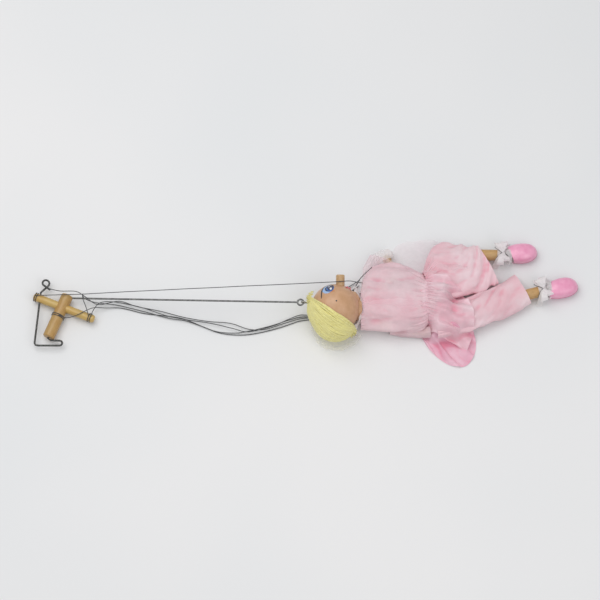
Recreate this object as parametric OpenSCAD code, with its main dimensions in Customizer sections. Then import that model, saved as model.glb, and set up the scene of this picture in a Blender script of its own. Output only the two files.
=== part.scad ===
// Rod marionette of a small doll, lying on a surface. Crown towards -X, feet towards +X, +Z up.

/* [Control] */
// Diameter of the grip dowel
grip_d = 12; // [10:0.5:16]
// Length of the grip dowel
grip_len = 48; // [40:1:70]
// Diameter of the cross dowel
cross_d = 8; // [6:0.5:9]
// Length of the cross dowel
cross_len = 66; // [60:1:90]
// Distance of the cross dowel from the top of the grip
cross_drop = 13.5; // [11:0.5:20]
// Diameter of the lever wire
lever_d = 2; // [1.5:0.1:2.5]
// Width of the finger loop of the lever
lever_w = 28; // [24:1:34]
// Radius of the curl at the end of the lever
curl_r = 3.4; // [3:0.1:5]
// Diameter of the head rod
rod_d = 1.8; // [1.4:0.1:2.2]
// Length of the head rod from the grip to the crown
rod_len = 239; // [200:1:260]

/* [Head] */
// Diameter of the head ball
head_d = 48; // [42:1:54]
// Diameter of the nose peg
nose_d = 8.6; // [6:0.2:10]
// Length of the nose peg that shows
nose_len = 10; // [6:0.5:14]
// Thickness of the yarn hair
hair_t = 3.4; // [2.5:0.1:5]
// Thickness of the net veil
veil_t = 0.8; // [0.6:0.1:1.2]

/* [Body] */
// Diameter of the turned torso
torso_d = 22; // [18:1:24]
// Length of the turned torso
torso_len = 68; // [60:1:74]
// Diameter of the arm dowels
arm_d = 6.5; // [5:0.5:7]
// Length of the upper arm between its joints
upper_arm_len = 32; // [28:1:36]
// Length of the forearm from the elbow to the palm
forearm_len = 21; // [18:1:26]
// Diameter of the hand ball
hand_d = 9; // [7:0.5:10]
// Diameter of the leg dowels
leg_d = 11; // [9:0.5:11.5]
// Length of the thigh between its joints
thigh_len = 48; // [44:1:52]
// Length of the shin between its joints
shin_len = 64; // [56:1:68]

/* [Eyes] */
// Radius of a screw eye's ring, to the middle of its wire
eye_r = 2.2; // [2:0.1:2.6]
// Diameter of the screw eyes' wire
eye_wire = 1.1; // [0.8:0.1:1.3]
// Depth of a screw eye in the wood
eye_depth = 6; // [4:0.5:8]

/* [Feet] */
// Length of a shoe
shoe_len = 28; // [24:1:32]
// Width of a shoe
shoe_w = 20; // [16:1:22]
// Height of a shoe
shoe_h = 15; // [13:0.5:18]

/* [Clothes] */
// Thickness of the cloth
cloth_t = 1; // [0.8:0.1:1.2]
// Width of the lace collar's ruffle
collar_w = 5; // [3:0.5:7]
// Width of the ribbons
ribbon_w = 6; // [4:0.5:8]

/* [Thread] */
// Diameter of the strings
string_d = 0.8; // [0.6:0.1:1]

/* [Hidden] */
$fn = 48;

function unit(v) = v / norm(v);
function heading(a) = [cos(a), sin(a), 0];
function key3(a, b, c, s) = a * (1 - s) * (1 - 2 * s) + b * 4 * s * (1 - s) + c * s * (2 * s - 1);
function smooth(t) = let (k = min(1, max(0, t))) k * k * (3 - 2 * k);

// Fits and floor clearances
wood_fit = 0.05;
soft_gap = 0.4;
floor_gap = 1.5;
wire_r = eye_wire / 2;
eye_stand = eye_r + wire_r + 0.6;
link_len = 2 * eye_r + wire_r + 0.6;

// Torso, from the neck to the hips
torso_z = torso_d / 2 + floor_gap;
torso_y = -2.5;
torso_x = 60;
torso_end = torso_x + torso_len;
neck_p = [torso_x - eye_stand, torso_y - 4, torso_z + 3.5];

// Head ball, its height set by the pressed hair under it
head_z = head_d / 2 + 2;
neck_reach = head_d / 2 + link_len;
neck_rise = head_z - neck_p[2];
neck_side = -3;
head_c = neck_p + [-sqrt(pow(neck_reach, 2) - pow(neck_rise, 2) - pow(neck_side, 2)), neck_side, neck_rise];
face_roll = 20;
face = [0, cos(face_roll), sin(face_roll)];
crown_dir = unit([-31, 4.3, 5]);
crown_reach = head_d / 2 + hair_t + eye_stand + 1.5;
crown_p = head_c + crown_reach * crown_dir;

// Rod and control, which lies on its dowel
rod_turn = 176.8;
grip_z = grip_d / 2 + string_d + 0.05;
rod_fall = (grip_z - crown_p[2]) / rod_len;
rod_dir = [cos(rod_turn) * sqrt(1 - rod_fall * rod_fall), sin(rod_turn) * sqrt(1 - rod_fall * rod_fall), rod_fall];
rod_top = crown_p + rod_len * rod_dir;
hook_axis = unit(cross([0, 0, 1], rod_dir));
hook_r = 3;
grip_turn = -112;
grip_dir = heading(grip_turn);
cross_dir = heading(grip_turn + 90);
rod_drop = 3;
grip_top = [rod_top[0], rod_top[1], grip_z] - rod_drop * grip_dir;
grip_end = grip_top + grip_len * grip_dir;
cross_mid = grip_top + cross_drop * grip_dir;
cross_left = cross_mid - 0.47 * cross_len * cross_dir;
cross_right = cross_left + cross_len * cross_dir;
lever_inset = 6.8;
lever_hole = cross_left + lever_inset * cross_dir;

// Arms: shoulder, elbow and hand points
shoulder_x = torso_x + 8;
shoulder_out = torso_d / 2 + eye_stand;
arm_z = 7;
shoulder_l = [shoulder_x, torso_y + shoulder_out, torso_z];
shoulder_r = [shoulder_x, torso_y - shoulder_out, torso_z];
function fall(turn, len, dz) = let (f = dz / len, c = sqrt(1 - f * f)) [c * cos(turn), c * sin(turn), f];
upper_l = fall(39, upper_arm_len, arm_z - torso_z);
upper_r = fall(-22, upper_arm_len, arm_z - torso_z);
elbow_l = shoulder_l + upper_arm_len * upper_l;
elbow_r = shoulder_r + upper_arm_len * upper_r;
fore_l = heading(122);
fore_r = heading(4);
hand_l = elbow_l + forearm_len * fore_l;
hand_r = elbow_r + forearm_len * fore_r;

// Legs: hip, knee and ankle points
hip_out = 9.5;
leg_z = 8;
hip_z = torso_z - 0.5;
hip_l = [torso_end + eye_stand, torso_y + hip_out, hip_z];
hip_r = [torso_end + eye_stand, torso_y - hip_out, hip_z];
thigh_l = fall(85, thigh_len, leg_z - hip_z);
thigh_r = fall(14.5, thigh_len, leg_z - hip_z);
knee_l = hip_l + thigh_len * thigh_l;
knee_r = hip_r + thigh_len * thigh_r;
shin_l = heading(-1);
shin_r = heading(14.5);
ankle_l = knee_l + shin_len * shin_l;
ankle_r = knee_r + shin_len * shin_r;
toe_l = 8;
toe_r = 10;

// Hinge axes: every one goes through the ring that its link turns on
up = [0, 0, 1];
neck_dir = unit(head_c - neck_p);
neck_axis = [0, 1, 0];
hip_axis_r = [0, 1, 0];
function flat_axis(d) = unit(cross(up, d));

// A solid drawn along +Z, placed at p along d, with its own X turned to lie along a
module along(p, d, a) {
    z = unit(d);
    x = unit(a - (a * z) * z);
    y = cross(z, x);
    multmatrix([[x[0], y[0], z[0], p[0]], [x[1], y[1], z[1], p[1]], [x[2], y[2], z[2], p[2]], [0, 0, 0, 1]])
        children();
}

// A torus of wire whose hole runs along +Z
module ring(r, wire) {
    rotate_extrude($fn = 48) translate([r, 0]) circle(r = wire, $fn = 20);
}

// A screw eye: its ring at the origin, its hole along X and its shank along +Z into the wood
module screw_eye(stand, depth) {
    rotate([0, 90, 0]) ring(eye_r, wire_r);
    translate([0, 0, eye_r]) cylinder(r = wire_r, h = stand - eye_r + depth, $fn = 24);
}

// The hole that a screw eye's shank fits, seen from the eye
module eye_hole(stand) {
    translate([0, 0, stand - 1]) cylinder(r = wire_r + wood_fit, h = eye_depth + 1.2, $fn = 24);
}

// A dowel with rounded ends, from 0 to len along +Z
module dowel(r, len, round) {
    rotate_extrude($fn = 48) intersection() {
        offset(r = round, $fn = 24) translate([-r, round]) square([2 * r - round, len - 2 * round]);
        square([r, len]);
    }
}

// Rounding of the ends of the limbs
limb_round = 1.9;
// A limb between two linked joints: wood that starts a link past p and stops an eye short of q
module limb(p, d, a, len, r, stop) {
    difference() {
        along(p, d, a) translate([0, 0, link_len]) dowel(r, len - link_len - stop, limb_round);
        along(p + (eye_r) * unit(d), d, a) translate([0, 0, eye_stand - 0.5])
            cylinder(r = wire_r + wood_fit, h = eye_depth, $fn = 24);
        if (stop > 0) along(p + len * unit(d), -d, a) eye_hole(eye_stand);
    }
}

// The eye of a child body, linked through the ring at p and turned a quarter from it
module child_eye(p, d, a) {
    along(p + eye_r * unit(d), d, cross(unit(d), a)) screw_eye(eye_stand, eye_depth - 1);
}

// The eye of a parent body, whose ring's hole is the hinge axis
module parent_eye(p, d, a) {
    along(p, d, a) screw_eye(eye_stand, eye_depth - 1);
}

// A tube of even sides swept along level or slanted route points
function tube_ring_at(route, i, r, n) = let (
    last = len(route) - 1,
    t = unit(route[min(i + 1, last)] - route[max(i - 1, 0)]),
    side = unit(cross(up, t)),
    top = cross(t, side)
) [for (j = [0 : n - 1]) route[i] + r * (cos(360 * j / n) * side + sin(360 * j / n) * top)];
module tube(route, r, n) {
    m = len(route);
    polyhedron(points = [for (i = [0 : m - 1]) each tube_ring_at(route, i, r, n)], faces = [
        [for (j = [n - 1 : -1 : 0]) n - 1 - j],
        [for (j = [n - 1 : -1 : 0]) (m - 1) * n + j],
        for (i = [0 : m - 2], j = [0 : n - 1]) let (a = i * n + j, b = i * n + (j + 1) % n) each
            [[a, b + n, b], [a, a + n, b + n]]
    ]);
}

// Lever: stub in the grip's end, finger loop, upright through the cross dowel, curl
lever_r = lever_d / 2;
lever_stub = 8;
loop_out = 14;
loop_low = 8.5;
loop_bend = 2.6;
lever_corner = [grip_end[0] + loop_out - lever_w, grip_end[1] - loop_low, grip_z];
lever_up = unit(lever_hole - lever_corner);
curl_foot = lever_hole + (cross_d / 2 + 2.5) * lever_up;
curl_c = curl_foot + [5, 9.5, 0];
curl_rise = 0.28;
lever_route = concat(
    [grip_end - lever_stub * grip_dir, grip_end + 1.2 * grip_dir, grip_end + [2.5, -3, 0]],
    [for (f = [80 : -32 : -80]) grip_end + [loop_out - loop_bend, -3.4 - loop_bend, 0]
        + loop_bend * [cos(f), sin(f), 0]],
    [lever_corner + [4, 0, 0], lever_corner + [1.4, 0.6, 0], lever_corner + [0.4, 2.4, 0]],
    [lever_hole - cross_d * lever_up, lever_hole, curl_foot],
    [for (k = [0 : 10]) curl_c + [curl_r * cos(30 * k - 60), curl_r * sin(30 * k - 60), curl_rise * k]],
    [curl_c + [4.5, -7.5, 10 * curl_rise]]
);

module grip() {
    color("burlywood") difference() {
        along(grip_top, grip_dir, up) dowel(grip_d / 2, grip_len, 1.5);
        along(cross_mid - grip_d * cross_dir, cross_dir, up)
            cylinder(r = cross_d / 2 + wood_fit, h = 2 * grip_d, $fn = 48);
        along(rod_top, -rod_dir, up) translate([0, 0, -4])
            cylinder(r = rod_d / 2 + wood_fit, h = grip_d, $fn = 24);
        along(grip_end - (lever_stub + 0.5) * grip_dir, grip_dir, up)
            cylinder(r = lever_r + wood_fit, h = lever_stub + 2, $fn = 24);
    }
}

module cross_dowel() {
    color("tan") difference() {
        along(cross_left, cross_dir, up) dowel(cross_d / 2, cross_len, 2.5);
        along(lever_hole - cross_d * lever_up, lever_up, up)
            cylinder(r = lever_r + wood_fit, h = 2 * cross_d, $fn = 24);
    }
}

module lever_wire() {
    color("dimgray") tube(lever_route, lever_r, 12);
}

// Straight rod, let into the grip, with a closed hook through the crown eye
module head_rod() {
    color("dimgray") {
        along(crown_p + 2 * hook_r * rod_dir, rod_dir, up)
            cylinder(r = rod_d / 2, h = rod_len - 2 * hook_r + 3, $fn = 24);
        along(crown_p + hook_r * rod_dir, cross(rod_dir, hook_axis), rod_dir) ring(hook_r, rod_d / 2);
    }
}

// Thread loops round the dowels, two turns at each tying point
tie_r = string_d / 2;
module tie(p, d, r) {
    for (k = [-0.5, 0.5]) along(p + k * 2.4 * string_d * d, d, up) ring(r + tie_r + wood_fit, tie_r);
}
tie_left = cross_left + 2.6 * cross_dir;
tie_right = cross_right - 5 * cross_dir;
tie_grip = grip_top + 24 * grip_dir;
module string_ties() {
    color("black") {
        tie(tie_left, cross_dir, cross_d / 2);
        tie(tie_right, cross_dir, cross_d / 2);
        tie(tie_grip, grip_dir, grip_d / 2);
    }
}

// Head ball with its chin and the turned end of its neck
module head_ball() {
    color("tan") difference() {
        union() {
            translate(head_c) sphere(d = head_d, $fn = 96);
            translate(head_c + head_d * (0.365 * [1, 0, 0] + 0.2 * face)) sphere(d = head_d * 0.27, $fn = 48);
            along(head_c, -neck_dir, up) cylinder(d = head_d * 0.5, h = head_d / 2, $fn = 48);
        }
        translate([0, 0, -head_d]) cube([4 * head_d, 4 * head_d, 2 * head_d], center = true);
        along(crown_p, -crown_dir, hook_axis) translate([0, 0, crown_reach - head_d / 2 - 1])
            cylinder(r = wire_r + wood_fit, h = eye_depth + 1.5, $fn = 24);
        along(neck_p + eye_r * neck_dir, neck_dir, up) translate([0, 0, eye_stand - 1])
            cylinder(r = wire_r + wood_fit, h = eye_depth + 1, $fn = 24);
        along(nose_root, face, up) translate([0, 0, -nose_sink]) cylinder(r = nose_d / 2 + wood_fit, h = head_d / 2);
    }
}

nose_sink = 6;
nose_x = 5;
nose_root = head_c + [nose_x, 0, 0] + sqrt(pow(head_d / 2, 2) - nose_x * nose_x) * face;
module nose_peg() {
    color("burlywood") along(nose_root - (nose_sink - 0.2) * face, face, up)
        dowel(nose_d / 2, nose_len + nose_sink - 0.2, 1.6);
}

// Crown eye and neck eye
module head_eyes() {
    color("gray") {
        along(crown_p, -crown_dir, hook_axis) screw_eye(crown_reach - head_d / 2, eye_depth);
        child_eye(neck_p, neck_dir, neck_axis);
    }
}

// Hair and veil: shells behind a slanted line from the brow to the nape, flat where they lie
hair_cut = unit([0.647, 0.717, 0.261]);
hair_back = head_c - 0.21 * head_d * face;
module behind(off) {
    along(head_c + off * hair_cut, -hair_cut, up) translate([-60, -60, 0]) cube([120, 120, 80]);
}
module head_hull(extra) {
    translate(head_c) sphere(r = head_d / 2 + extra, $fn = 96);
    translate(hair_back) sphere(r = head_d * 0.4 + extra, $fn = 96);
}
module above_floor() {
    translate([-200, -200, 0]) cube([400, 400, 200]);
}
module hair() {
    color("khaki") difference() {
        intersection() {
            head_hull(hair_t);
            behind(-5.3);
            above_floor();
        }
        translate(head_c) sphere(r = head_d / 2 + 0.1, $fn = 96);
        along(crown_p, -crown_dir, hook_axis) cylinder(r = wire_r + 0.6, h = 12, $fn = 24);
    }
}
module veil() {
    color("white") difference() {
        intersection() {
            head_hull(hair_t + soft_gap + veil_t);
            behind(-17);
            above_floor();
        }
        head_hull(hair_t + soft_gap);
        along(crown_p + 4 * crown_dir, -crown_dir, hook_axis) cylinder(r = eye_r + 2.5, h = 20, $fn = 32);
    }
}

// Turned torso: shoulders, waist and hips
module torso() {
    r = torso_d / 2;
    color("burlywood") difference() {
        translate([torso_x, torso_y, torso_z]) rotate([0, 90, 0]) rotate_extrude($fn = 64)
            polygon([[0, 0], [r * 0.6, 0], [r * 0.9, 2.5], [r, 6], [r, 18], [r * 0.86, 40], [r * 0.9, 50],
                [r * 0.98, torso_len - 4], [r * 0.9, torso_len], [0, torso_len]]);
        along(neck_p, [1, 0, 0], neck_axis) eye_hole(eye_stand);
        along(shoulder_l, [0, -1, 0], up) eye_hole(eye_stand);
        along(shoulder_r, [0, 1, 0], up) eye_hole(eye_stand);
        for (p = [hip_l, hip_r]) along(p, [-1, 0, 0], up) eye_hole(eye_stand);
    }
}
module torso_eyes() {
    color("gray") {
        parent_eye(neck_p, [1, 0, 0], neck_axis);
        parent_eye(shoulder_l, [0, -1, 0], up);
        parent_eye(shoulder_r, [0, 1, 0], up);
        parent_eye(hip_l, [-1, 0, 0], up);
        parent_eye(hip_r, [-1, 0, 0], hip_axis_r);
    }
}

module upper_arm(p, d, a) {
    color("burlywood") limb(p, d, a, upper_arm_len, arm_d / 2, eye_stand);
}
module limb_eyes(p, d, a, q, bend) {
    color("gray") {
        child_eye(p, d, a);
        parent_eye(q, -d, bend);
    }
}
module forearm(p, d, a) {
    color("burlywood") difference() {
        union() {
            limb(p, d, a, forearm_len + hand_d / 2 - 1, arm_d / 2, 0);
            translate(p + forearm_len * d) sphere(d = hand_d, $fn = 48);
        }
        along(p + eye_r * d, d, a) translate([0, 0, eye_stand - 0.5])
            cylinder(r = wire_r + wood_fit, h = eye_depth, $fn = 24);
    }
}
module thigh(p, d, a) {
    color("burlywood") limb(p, d, a, thigh_len, leg_d / 2, eye_stand);
}
module shin(p, d, a) {
    color("burlywood") limb(p, d, a, shin_len, leg_d / 2, eye_stand);
}

module upper_arm_left() { upper_arm(shoulder_l, upper_l, up); }
module upper_arm_right() { upper_arm(shoulder_r, upper_r, up); }
module upper_arm_left_eyes() { limb_eyes(shoulder_l, upper_l, up, elbow_l, up); }
module upper_arm_right_eyes() { limb_eyes(shoulder_r, upper_r, up, elbow_r, up); }
module forearm_left() { forearm(elbow_l, fore_l, up); }
module forearm_right() { forearm(elbow_r, fore_r, up); }
module forearm_left_eye() { color("gray") child_eye(elbow_l, fore_l, up); }
module forearm_right_eye() { color("gray") child_eye(elbow_r, fore_r, up); }
module thigh_left() { thigh(hip_l, thigh_l, up); }
module thigh_right() { thigh(hip_r, thigh_r, hip_axis_r); }
module thigh_left_eyes() { limb_eyes(hip_l, thigh_l, up, knee_l, up); }
module thigh_right_eyes() { limb_eyes(hip_r, thigh_r, hip_axis_r, knee_r, flat_axis(shin_r)); }
module shin_left() { shin(knee_l, shin_l, up); }
module shin_right() { shin(knee_r, shin_r, flat_axis(shin_r)); }
module shin_left_eyes() { limb_eyes(knee_l, shin_l, up, ankle_l, flat_axis(shin_l)); }
module shin_right_eyes() { limb_eyes(knee_r, shin_r, flat_axis(shin_r), ankle_r, flat_axis(shin_r)); }

// Shoe: rounded toe, straight back edge and a flat sole, with the eye of the ankle link
module shoe(p, d, turn) {
    r = shoe_w / 2;
    color("hotpink") difference() {
        intersection() {
            hull() {
                translate(p + [0, 0, shoe_h / 2 - p[2]] + (link_len + shoe_len - r) * heading(turn))
                    resize([2 * r, 2 * r, shoe_h + 2]) sphere(r = r, $fn = 32);
                translate(p + [0, 0, shoe_h / 2 - p[2]] + (link_len + 0.3 * shoe_len) * heading(turn))
                    resize([1.9 * r, 1.9 * r, shoe_h + 2]) sphere(r = r, $fn = 32);
            }
            translate([p[0], p[1], 0]) rotate([0, 0, turn]) translate([link_len, -shoe_w, 0])
                cube([2 * shoe_len, 2 * shoe_w, shoe_h]);
        }
        along(p + eye_r * heading(turn), heading(turn), up) translate([0, 0, eye_stand - 0.5])
            cylinder(r = wire_r + wood_fit, h = eye_depth, $fn = 24);
    }
}
module shoe_left() { shoe(ankle_l, shin_l, toe_l); }
module shoe_right() { shoe(ankle_r, shin_r, toe_r); }
module shoe_left_eye() { color("gray") child_eye(ankle_l, heading(toe_l), flat_axis(shin_l)); }
module shoe_right_eye() { color("gray") child_eye(ankle_r, heading(toe_r), flat_axis(shin_r)); }

// Ribbon bow: a band round the lower shin and two loops that lie on it
module bow(p, d) {
    band = leg_d / 2 + soft_gap;
    color("white") along(p - (eye_stand + ribbon_w + 1) * d, d, up) {
        difference() {
            cylinder(r = band + cloth_t, h = ribbon_w);
            translate([0, 0, -1]) cylinder(r = band, h = ribbon_w + 2);
        }
        for (side = [-1, 1]) translate([band + cloth_t + 1.9, side * 5.5, 0]) difference() {
            resize([5, 10, ribbon_w]) cylinder(r = 5, h = ribbon_w);
            translate([0, 0, -1]) resize([5 - 2 * cloth_t, 10 - 2 * cloth_t, ribbon_w + 2])
                cylinder(r = 4, h = ribbon_w + 2);
        }
    }
}
module bow_left() { bow(ankle_l, shin_l); }
module bow_right() { bow(ankle_r, shin_r); }

// Cloth tube through three stations, each [x, y, heading, half width, height], flat where it lies
function tube_station(keys, s) = key3(keys[0], keys[1], keys[2], s);
function tube_ring(k, s, n, inset, folds, depth) = [
    for (j = [0 : n - 1]) let (
        f = 360 * j / n,
        wave = depth * sin(folds * f + 70 * s) * sin(180 * min(1, s * 1.4)),
        q = (k[3] - inset + wave) * cos(f),
        rise = (k[4] / 2 - inset + wave) * sin(f),
        z = max(inset, k[4] / 2 + rise * (f > 180 ? 1.25 : 1))
    ) [k[0] - q * sin(k[2]), k[1] + q * cos(k[2]), z]
];
module cloth_tube(keys, rings, n, folds, depth) {
    outer = [for (i = [0 : rings - 1]) each tube_ring(tube_station(keys, i / (rings - 1)), i / (rings - 1), n, 0,
        folds, depth)];
    inner = [for (i = [0 : rings - 1]) each tube_ring(tube_station(keys, i / (rings - 1)), i / (rings - 1), n,
        cloth_t, folds, depth)];
    in0 = rings * n;
    last = (rings - 1) * n;
    polyhedron(points = concat(outer, inner), faces = [
        for (i = [0 : rings - 2], j = [0 : n - 1]) let (a = i * n + j, b = i * n + (j + 1) % n) each
            [[a, b + n, b], [a, a + n, b + n], [in0 + b, in0 + a + n, in0 + a], [in0 + b, in0 + b + n, in0 + a + n]],
        for (j = [0 : n - 1]) let (k = (j + 1) % n) each
            [[in0 + j, k, in0 + k], [in0 + j, j, k],
             [last + j, in0 + last + k, last + k], [last + j, in0 + last + j, in0 + last + k]]
    ]);
}

// Cloth sheet over a grid of top points, cols by rows, with its underside one thickness below
module cloth_sheet(top, cols, rows) {
    under = [for (p = top) [p[0], p[1], p[2] - cloth_t]];
    m = cols * rows;
    polyhedron(points = concat(top, under), faces = [
        for (i = [0 : rows - 2], j = [0 : cols - 2]) let (a = i * cols + j, b = a + 1, c = a + cols, d = c + 1) each
            [[a, b, d], [a, d, c], [m + a, m + d, m + b], [m + a, m + c, m + d]],
        for (j = [0 : cols - 2]) let (a = j, b = j + 1, c = (rows - 1) * cols + j, d = c + 1) each
            [[a, m + a, m + b], [a, m + b, b], [c, d, m + d], [c, m + d, m + c]],
        for (i = [0 : rows - 2]) let (a = i * cols, c = a + cols, b = a + cols - 1, d = c + cols - 1) each
            [[a, c, m + c], [a, m + c, m + a], [b, m + b, m + d], [b, m + d, d]]
    ]);
}

// Bodice from the collar to the gathered waist, with an armhole at each shoulder
bodice_start = torso_x - 3;
bodice_end = torso_end - 5;
bodice_room = torso_d / 2 + cloth_t + 1.2;
bodice_h = torso_d + floor_gap + 3.4;
armhole_r = 6;
arm_slot = 14;
module bodice() {
    color("pink") difference() {
        cloth_tube([[bodice_start, torso_y, 0, bodice_room - 0.6, bodice_h - 0.6],
            [(bodice_start + bodice_end) / 2, torso_y, 0, bodice_room + 3, bodice_h + 3],
            [bodice_end, torso_y, 0, bodice_room, bodice_h - 1]], 10, 32, 8, 0.5);
        for (hole = [[1, 0], [-1, arm_slot]]) hull() for (k = [0, hole[1]])
            translate([shoulder_x + k, torso_y + hole[0] * bodice_room, torso_z])
                rotate([90, 0, 0]) cylinder(r = armhole_r, h = 12, center = true, $fn = 32);
    }
}

// Sleeves round the arms
module sleeve_left() {
    color("mistyrose") cloth_tube([
        [shoulder_l[0] + 0.5, shoulder_l[1] + 6.2, 78, 12.5, 18],
        [shoulder_l[0] + 9, shoulder_l[1] + 20, 72, 20, 17],
        [shoulder_l[0] + 14, shoulder_l[1] + 35, 68, 20, 15]], 8, 30, 6, 0.8);
}
module sleeve_right() {
    color("mistyrose") cloth_tube([
        [shoulder_r[0] + 17, shoulder_r[1] - 8.2, -18, 6.4, 16],
        [shoulder_r[0] + 32, shoulder_r[1] - 11, -8, 8, 15],
        [shoulder_r[0] + 44, shoulder_r[1] - 11.5, 4, 8.5, 14]], 8, 24, 5, 0.4);
}

// Wide trouser legs, from the hips to the middle of the shins
module trouser_left() {
    color("pink") cloth_tube([
        [hip_l[0] - 7, hip_l[1] + 26.5, 10, 32.5, hip_z + leg_d / 2 + 3.5],
        [hip_l[0] + 24, hip_l[1] + 29, 14, 28.5, 18.5],
        [hip_l[0] + 53, hip_l[1] + 37.5, 26, 20.5, 17.5]], 11, 36, 7, 1);
}
module trouser_right() {
    color("pink") cloth_tube([
        [hip_r[0] - 0.5, hip_r[1] - 7.5, 2, 16.3, hip_z + leg_d / 2 + 4.5],
        [hip_r[0] + 40, hip_r[1] + 5, 16, 16.5, 19],
        [hip_r[0] + 86, hip_r[1] + 29, 28, 17, 16]], 11, 36, 7, 1);
}

// Gathered overskirt: a sheet that starts at the waist and falls over the trousers to the floor
skirt_len = 44;
skirt_rows = 14;
skirt_cols = 30;
function skirt_point(s, u) = let (
    left = torso_y + 13 + 34 * smooth(s * 1.5),
    right = torso_y - 15 - 50 * smooth(s * 0.9 + 0.05),
    y = right + (left - right) * u,
    x = bodice_end + 0.4 + skirt_len * s * (1 - 0.25 * (2 * u - 0.9) * (2 * u - 0.9)),
    lift = smooth((y - (torso_y - 42 - 2 * s + 18 * (1 - smooth(s * 4)))) / 13),
    height = 22.6 + 7 * (1 - smooth(s * 3.2)),
    fold = 1.6 * s * (1 - cos(360 * 7 * u + 60 * s)) * (0.35 + 0.65 * lift)
) [x, y, cloth_t + (height - cloth_t) * lift + fold];
module skirt() {
    color("lightpink") cloth_sheet([for (i = [0 : skirt_rows - 1], j = [0 : skirt_cols - 1])
        skirt_point(i / (skirt_rows - 1), j / (skirt_cols - 1))], skirt_cols, skirt_rows);
}

// Ruffled lace collar: a waved disc between the neck and the bodice, its hole round the neck's link
module collar() {
    n = 50;
    neck_room = link_len;
    outer_r = torso_d / 2 + collar_w - 1.5;
    ruffle = 0.7;
    middle = torso_x - 3.8;
    function rim(c, r, off, wave) = [for (j = [0 : n - 1]) let (f = 360 * j / n)
        [middle + off + wave * sin(10 * f), c[0] + r * cos(f), max(soft_gap, c[1] + r * sin(f))]];
    hole = [neck_p[1], neck_p[2]];
    outer = [torso_y, torso_z];
    pts = concat(rim(hole, neck_room, -0.4, 0), rim(outer, outer_r, -1.2, ruffle), rim(outer, outer_r, -0.5, ruffle),
        rim(hole, neck_room, 0.4, 0));
    color("white") polyhedron(points = pts, faces = [
        for (i = [0 : 3], j = [0 : n - 1]) let (a = i * n + j, b = i * n + (j + 1) % n,
            d = ((i + 1) % 4) * n + (j + 1) % n, e = ((i + 1) % 4) * n + j) each [[a, d, b], [a, e, d]]
    ]);
}

// Strings: hand-chosen points from the knots along the floor, round the head, to the left sleeve
route_1 = [[-270.5, 9, 12.1], [-250, 9, 13.9], [-225, 9, 16], [-200, 9.5, 18.5], [-175, 10, 21], [-150, 10.5, 23],
    [-120, 11, 26], [-90, 11.5, 28.5], [-60, 12, 31.5], [-25, 12.5, 34.5], [10, 13, 38], [35, 13.6, 40.2],
    [43, 15.7, 36], [51, 18.5, 25], [57.5, 20.5, 16.5]];
route_2 = [[-258, 17, 11.1], [-246, 13.5, 13], [-230, 12.5, 14.5], [-221, 7.5, 13.5], [-208, 1, 7.5], [-184, 1, 2.2],
    [-150, -8, 2.2], [-112, -16, 2.2], [-70, -25, 2.2], [-42, -25, 2.2], [-6, -12, 1.5], [12, -9, 1.5],
    [18, 4, 1.5], [30, 8, 1.5], [41, 8, 2.5], [48, 17, 6], [54, 26, 14], [66, 37, 18]];
route_3 = [[-217, -12.5, 12.1], [-219.5, -4, 13.5], [-222.5, 4, 12.5], [-223.5, 8.5, 11.5], [-223.5, 11, 8.5],
    [-221.5, 8, 6], [-212, 4, 6], [-200, 3, 4], [-184, 3, 1.2], [-150, -6, 1.2], [-112, -14, 1.2],
    [-70, -22, 1.2], [-42, -23, 1.2], [-6, -10, 0.9], [10, -8, 0.9], [16.5, 5.5, 0.9], [30, 10, 0.9],
    [42, 15.5, 0.9], [53.5, 23.5, 1.2]];
route_4 = [[-215, -13, 12.1], [-211, -4, 11.5], [-205.5, 2.5, 9], [-196, 5, 5], [-184, 5, 2.4], [-150, -4, 2.4],
    [-112, -12, 2.4], [-70, -19.5, 2.4], [-42, -21, 2.4], [-6, -8, 1.6], [8, -7, 1.6], [15, 7, 1.6],
    [30, 12, 1.6], [40, 20, 1.6], [54, 29, 2]];
route_5 = [[-246.5, -12, 14.1], [-240, -14.5, 12], [-232, -13, 11.5], [-226, -10.5, 12], [-220, -7, 11.5],
    [-212, -2.5, 8], [-200, -1, 3], [-184, -1, 0.8], [-150, -10, 0.8], [-112, -18, 0.8], [-70, -27, 0.8],
    [-42, -27, 0.8], [-6, -14, 0.7], [13.5, -10, 0.7], [19, 2, 0.7], [30, 6.5, 0.7], [43, 6.5, 0.8],
    [55, 15.5, 1.2]];
module string(route) {
    color("black") tube(route, string_d / 2, 8);
}
module string_1() { string(route_1); }
module string_2() { string(route_2); }
module string_3() { string(route_3); }
module string_4() { string(route_4); }
module string_5() { string(route_5); }

// Draw lines
grip();
cross_dowel();
lever_wire();
head_rod();
string_ties();
head_ball();
nose_peg();
hair();
veil();
head_eyes();
torso();
torso_eyes();
collar();
bodice();
skirt();
upper_arm_left();
upper_arm_right();
upper_arm_left_eyes();
upper_arm_right_eyes();
forearm_left();
forearm_right();
forearm_left_eye();
forearm_right_eye();
sleeve_left();
sleeve_right();
thigh_left();
thigh_right();
thigh_left_eyes();
thigh_right_eyes();
trouser_left();
trouser_right();
shin_left();
shin_right();
shin_left_eyes();
shin_right_eyes();
shoe_left();
shoe_right();
shoe_left_eye();
shoe_right_eye();
bow_left();
bow_right();
string_1();
string_2();
string_3();
string_4();
string_5();
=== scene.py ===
# %% [markdown]
# # A small rod marionette, lying beside its control
#
# The puppet is a wooden doll in pink clothes. A rod and five threads join it to a cross of two
# dowels. The CAD model gives the places, sizes and joints. This script dresses it: it keeps the
# wooden and wire parts and gives them materials, and puts cloth, yarn, thread, ribbon and paint
# where the CAD model has plain stand-ins. Lengths in the tables below are in millimetres, and
# angles in degrees. X runs from the control to the shoes, Y from the doll's right side to its left,
# and the table is at Z = 0.

# %% Load the frame
import math
import random

import bpy
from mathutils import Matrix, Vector, noise


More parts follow.
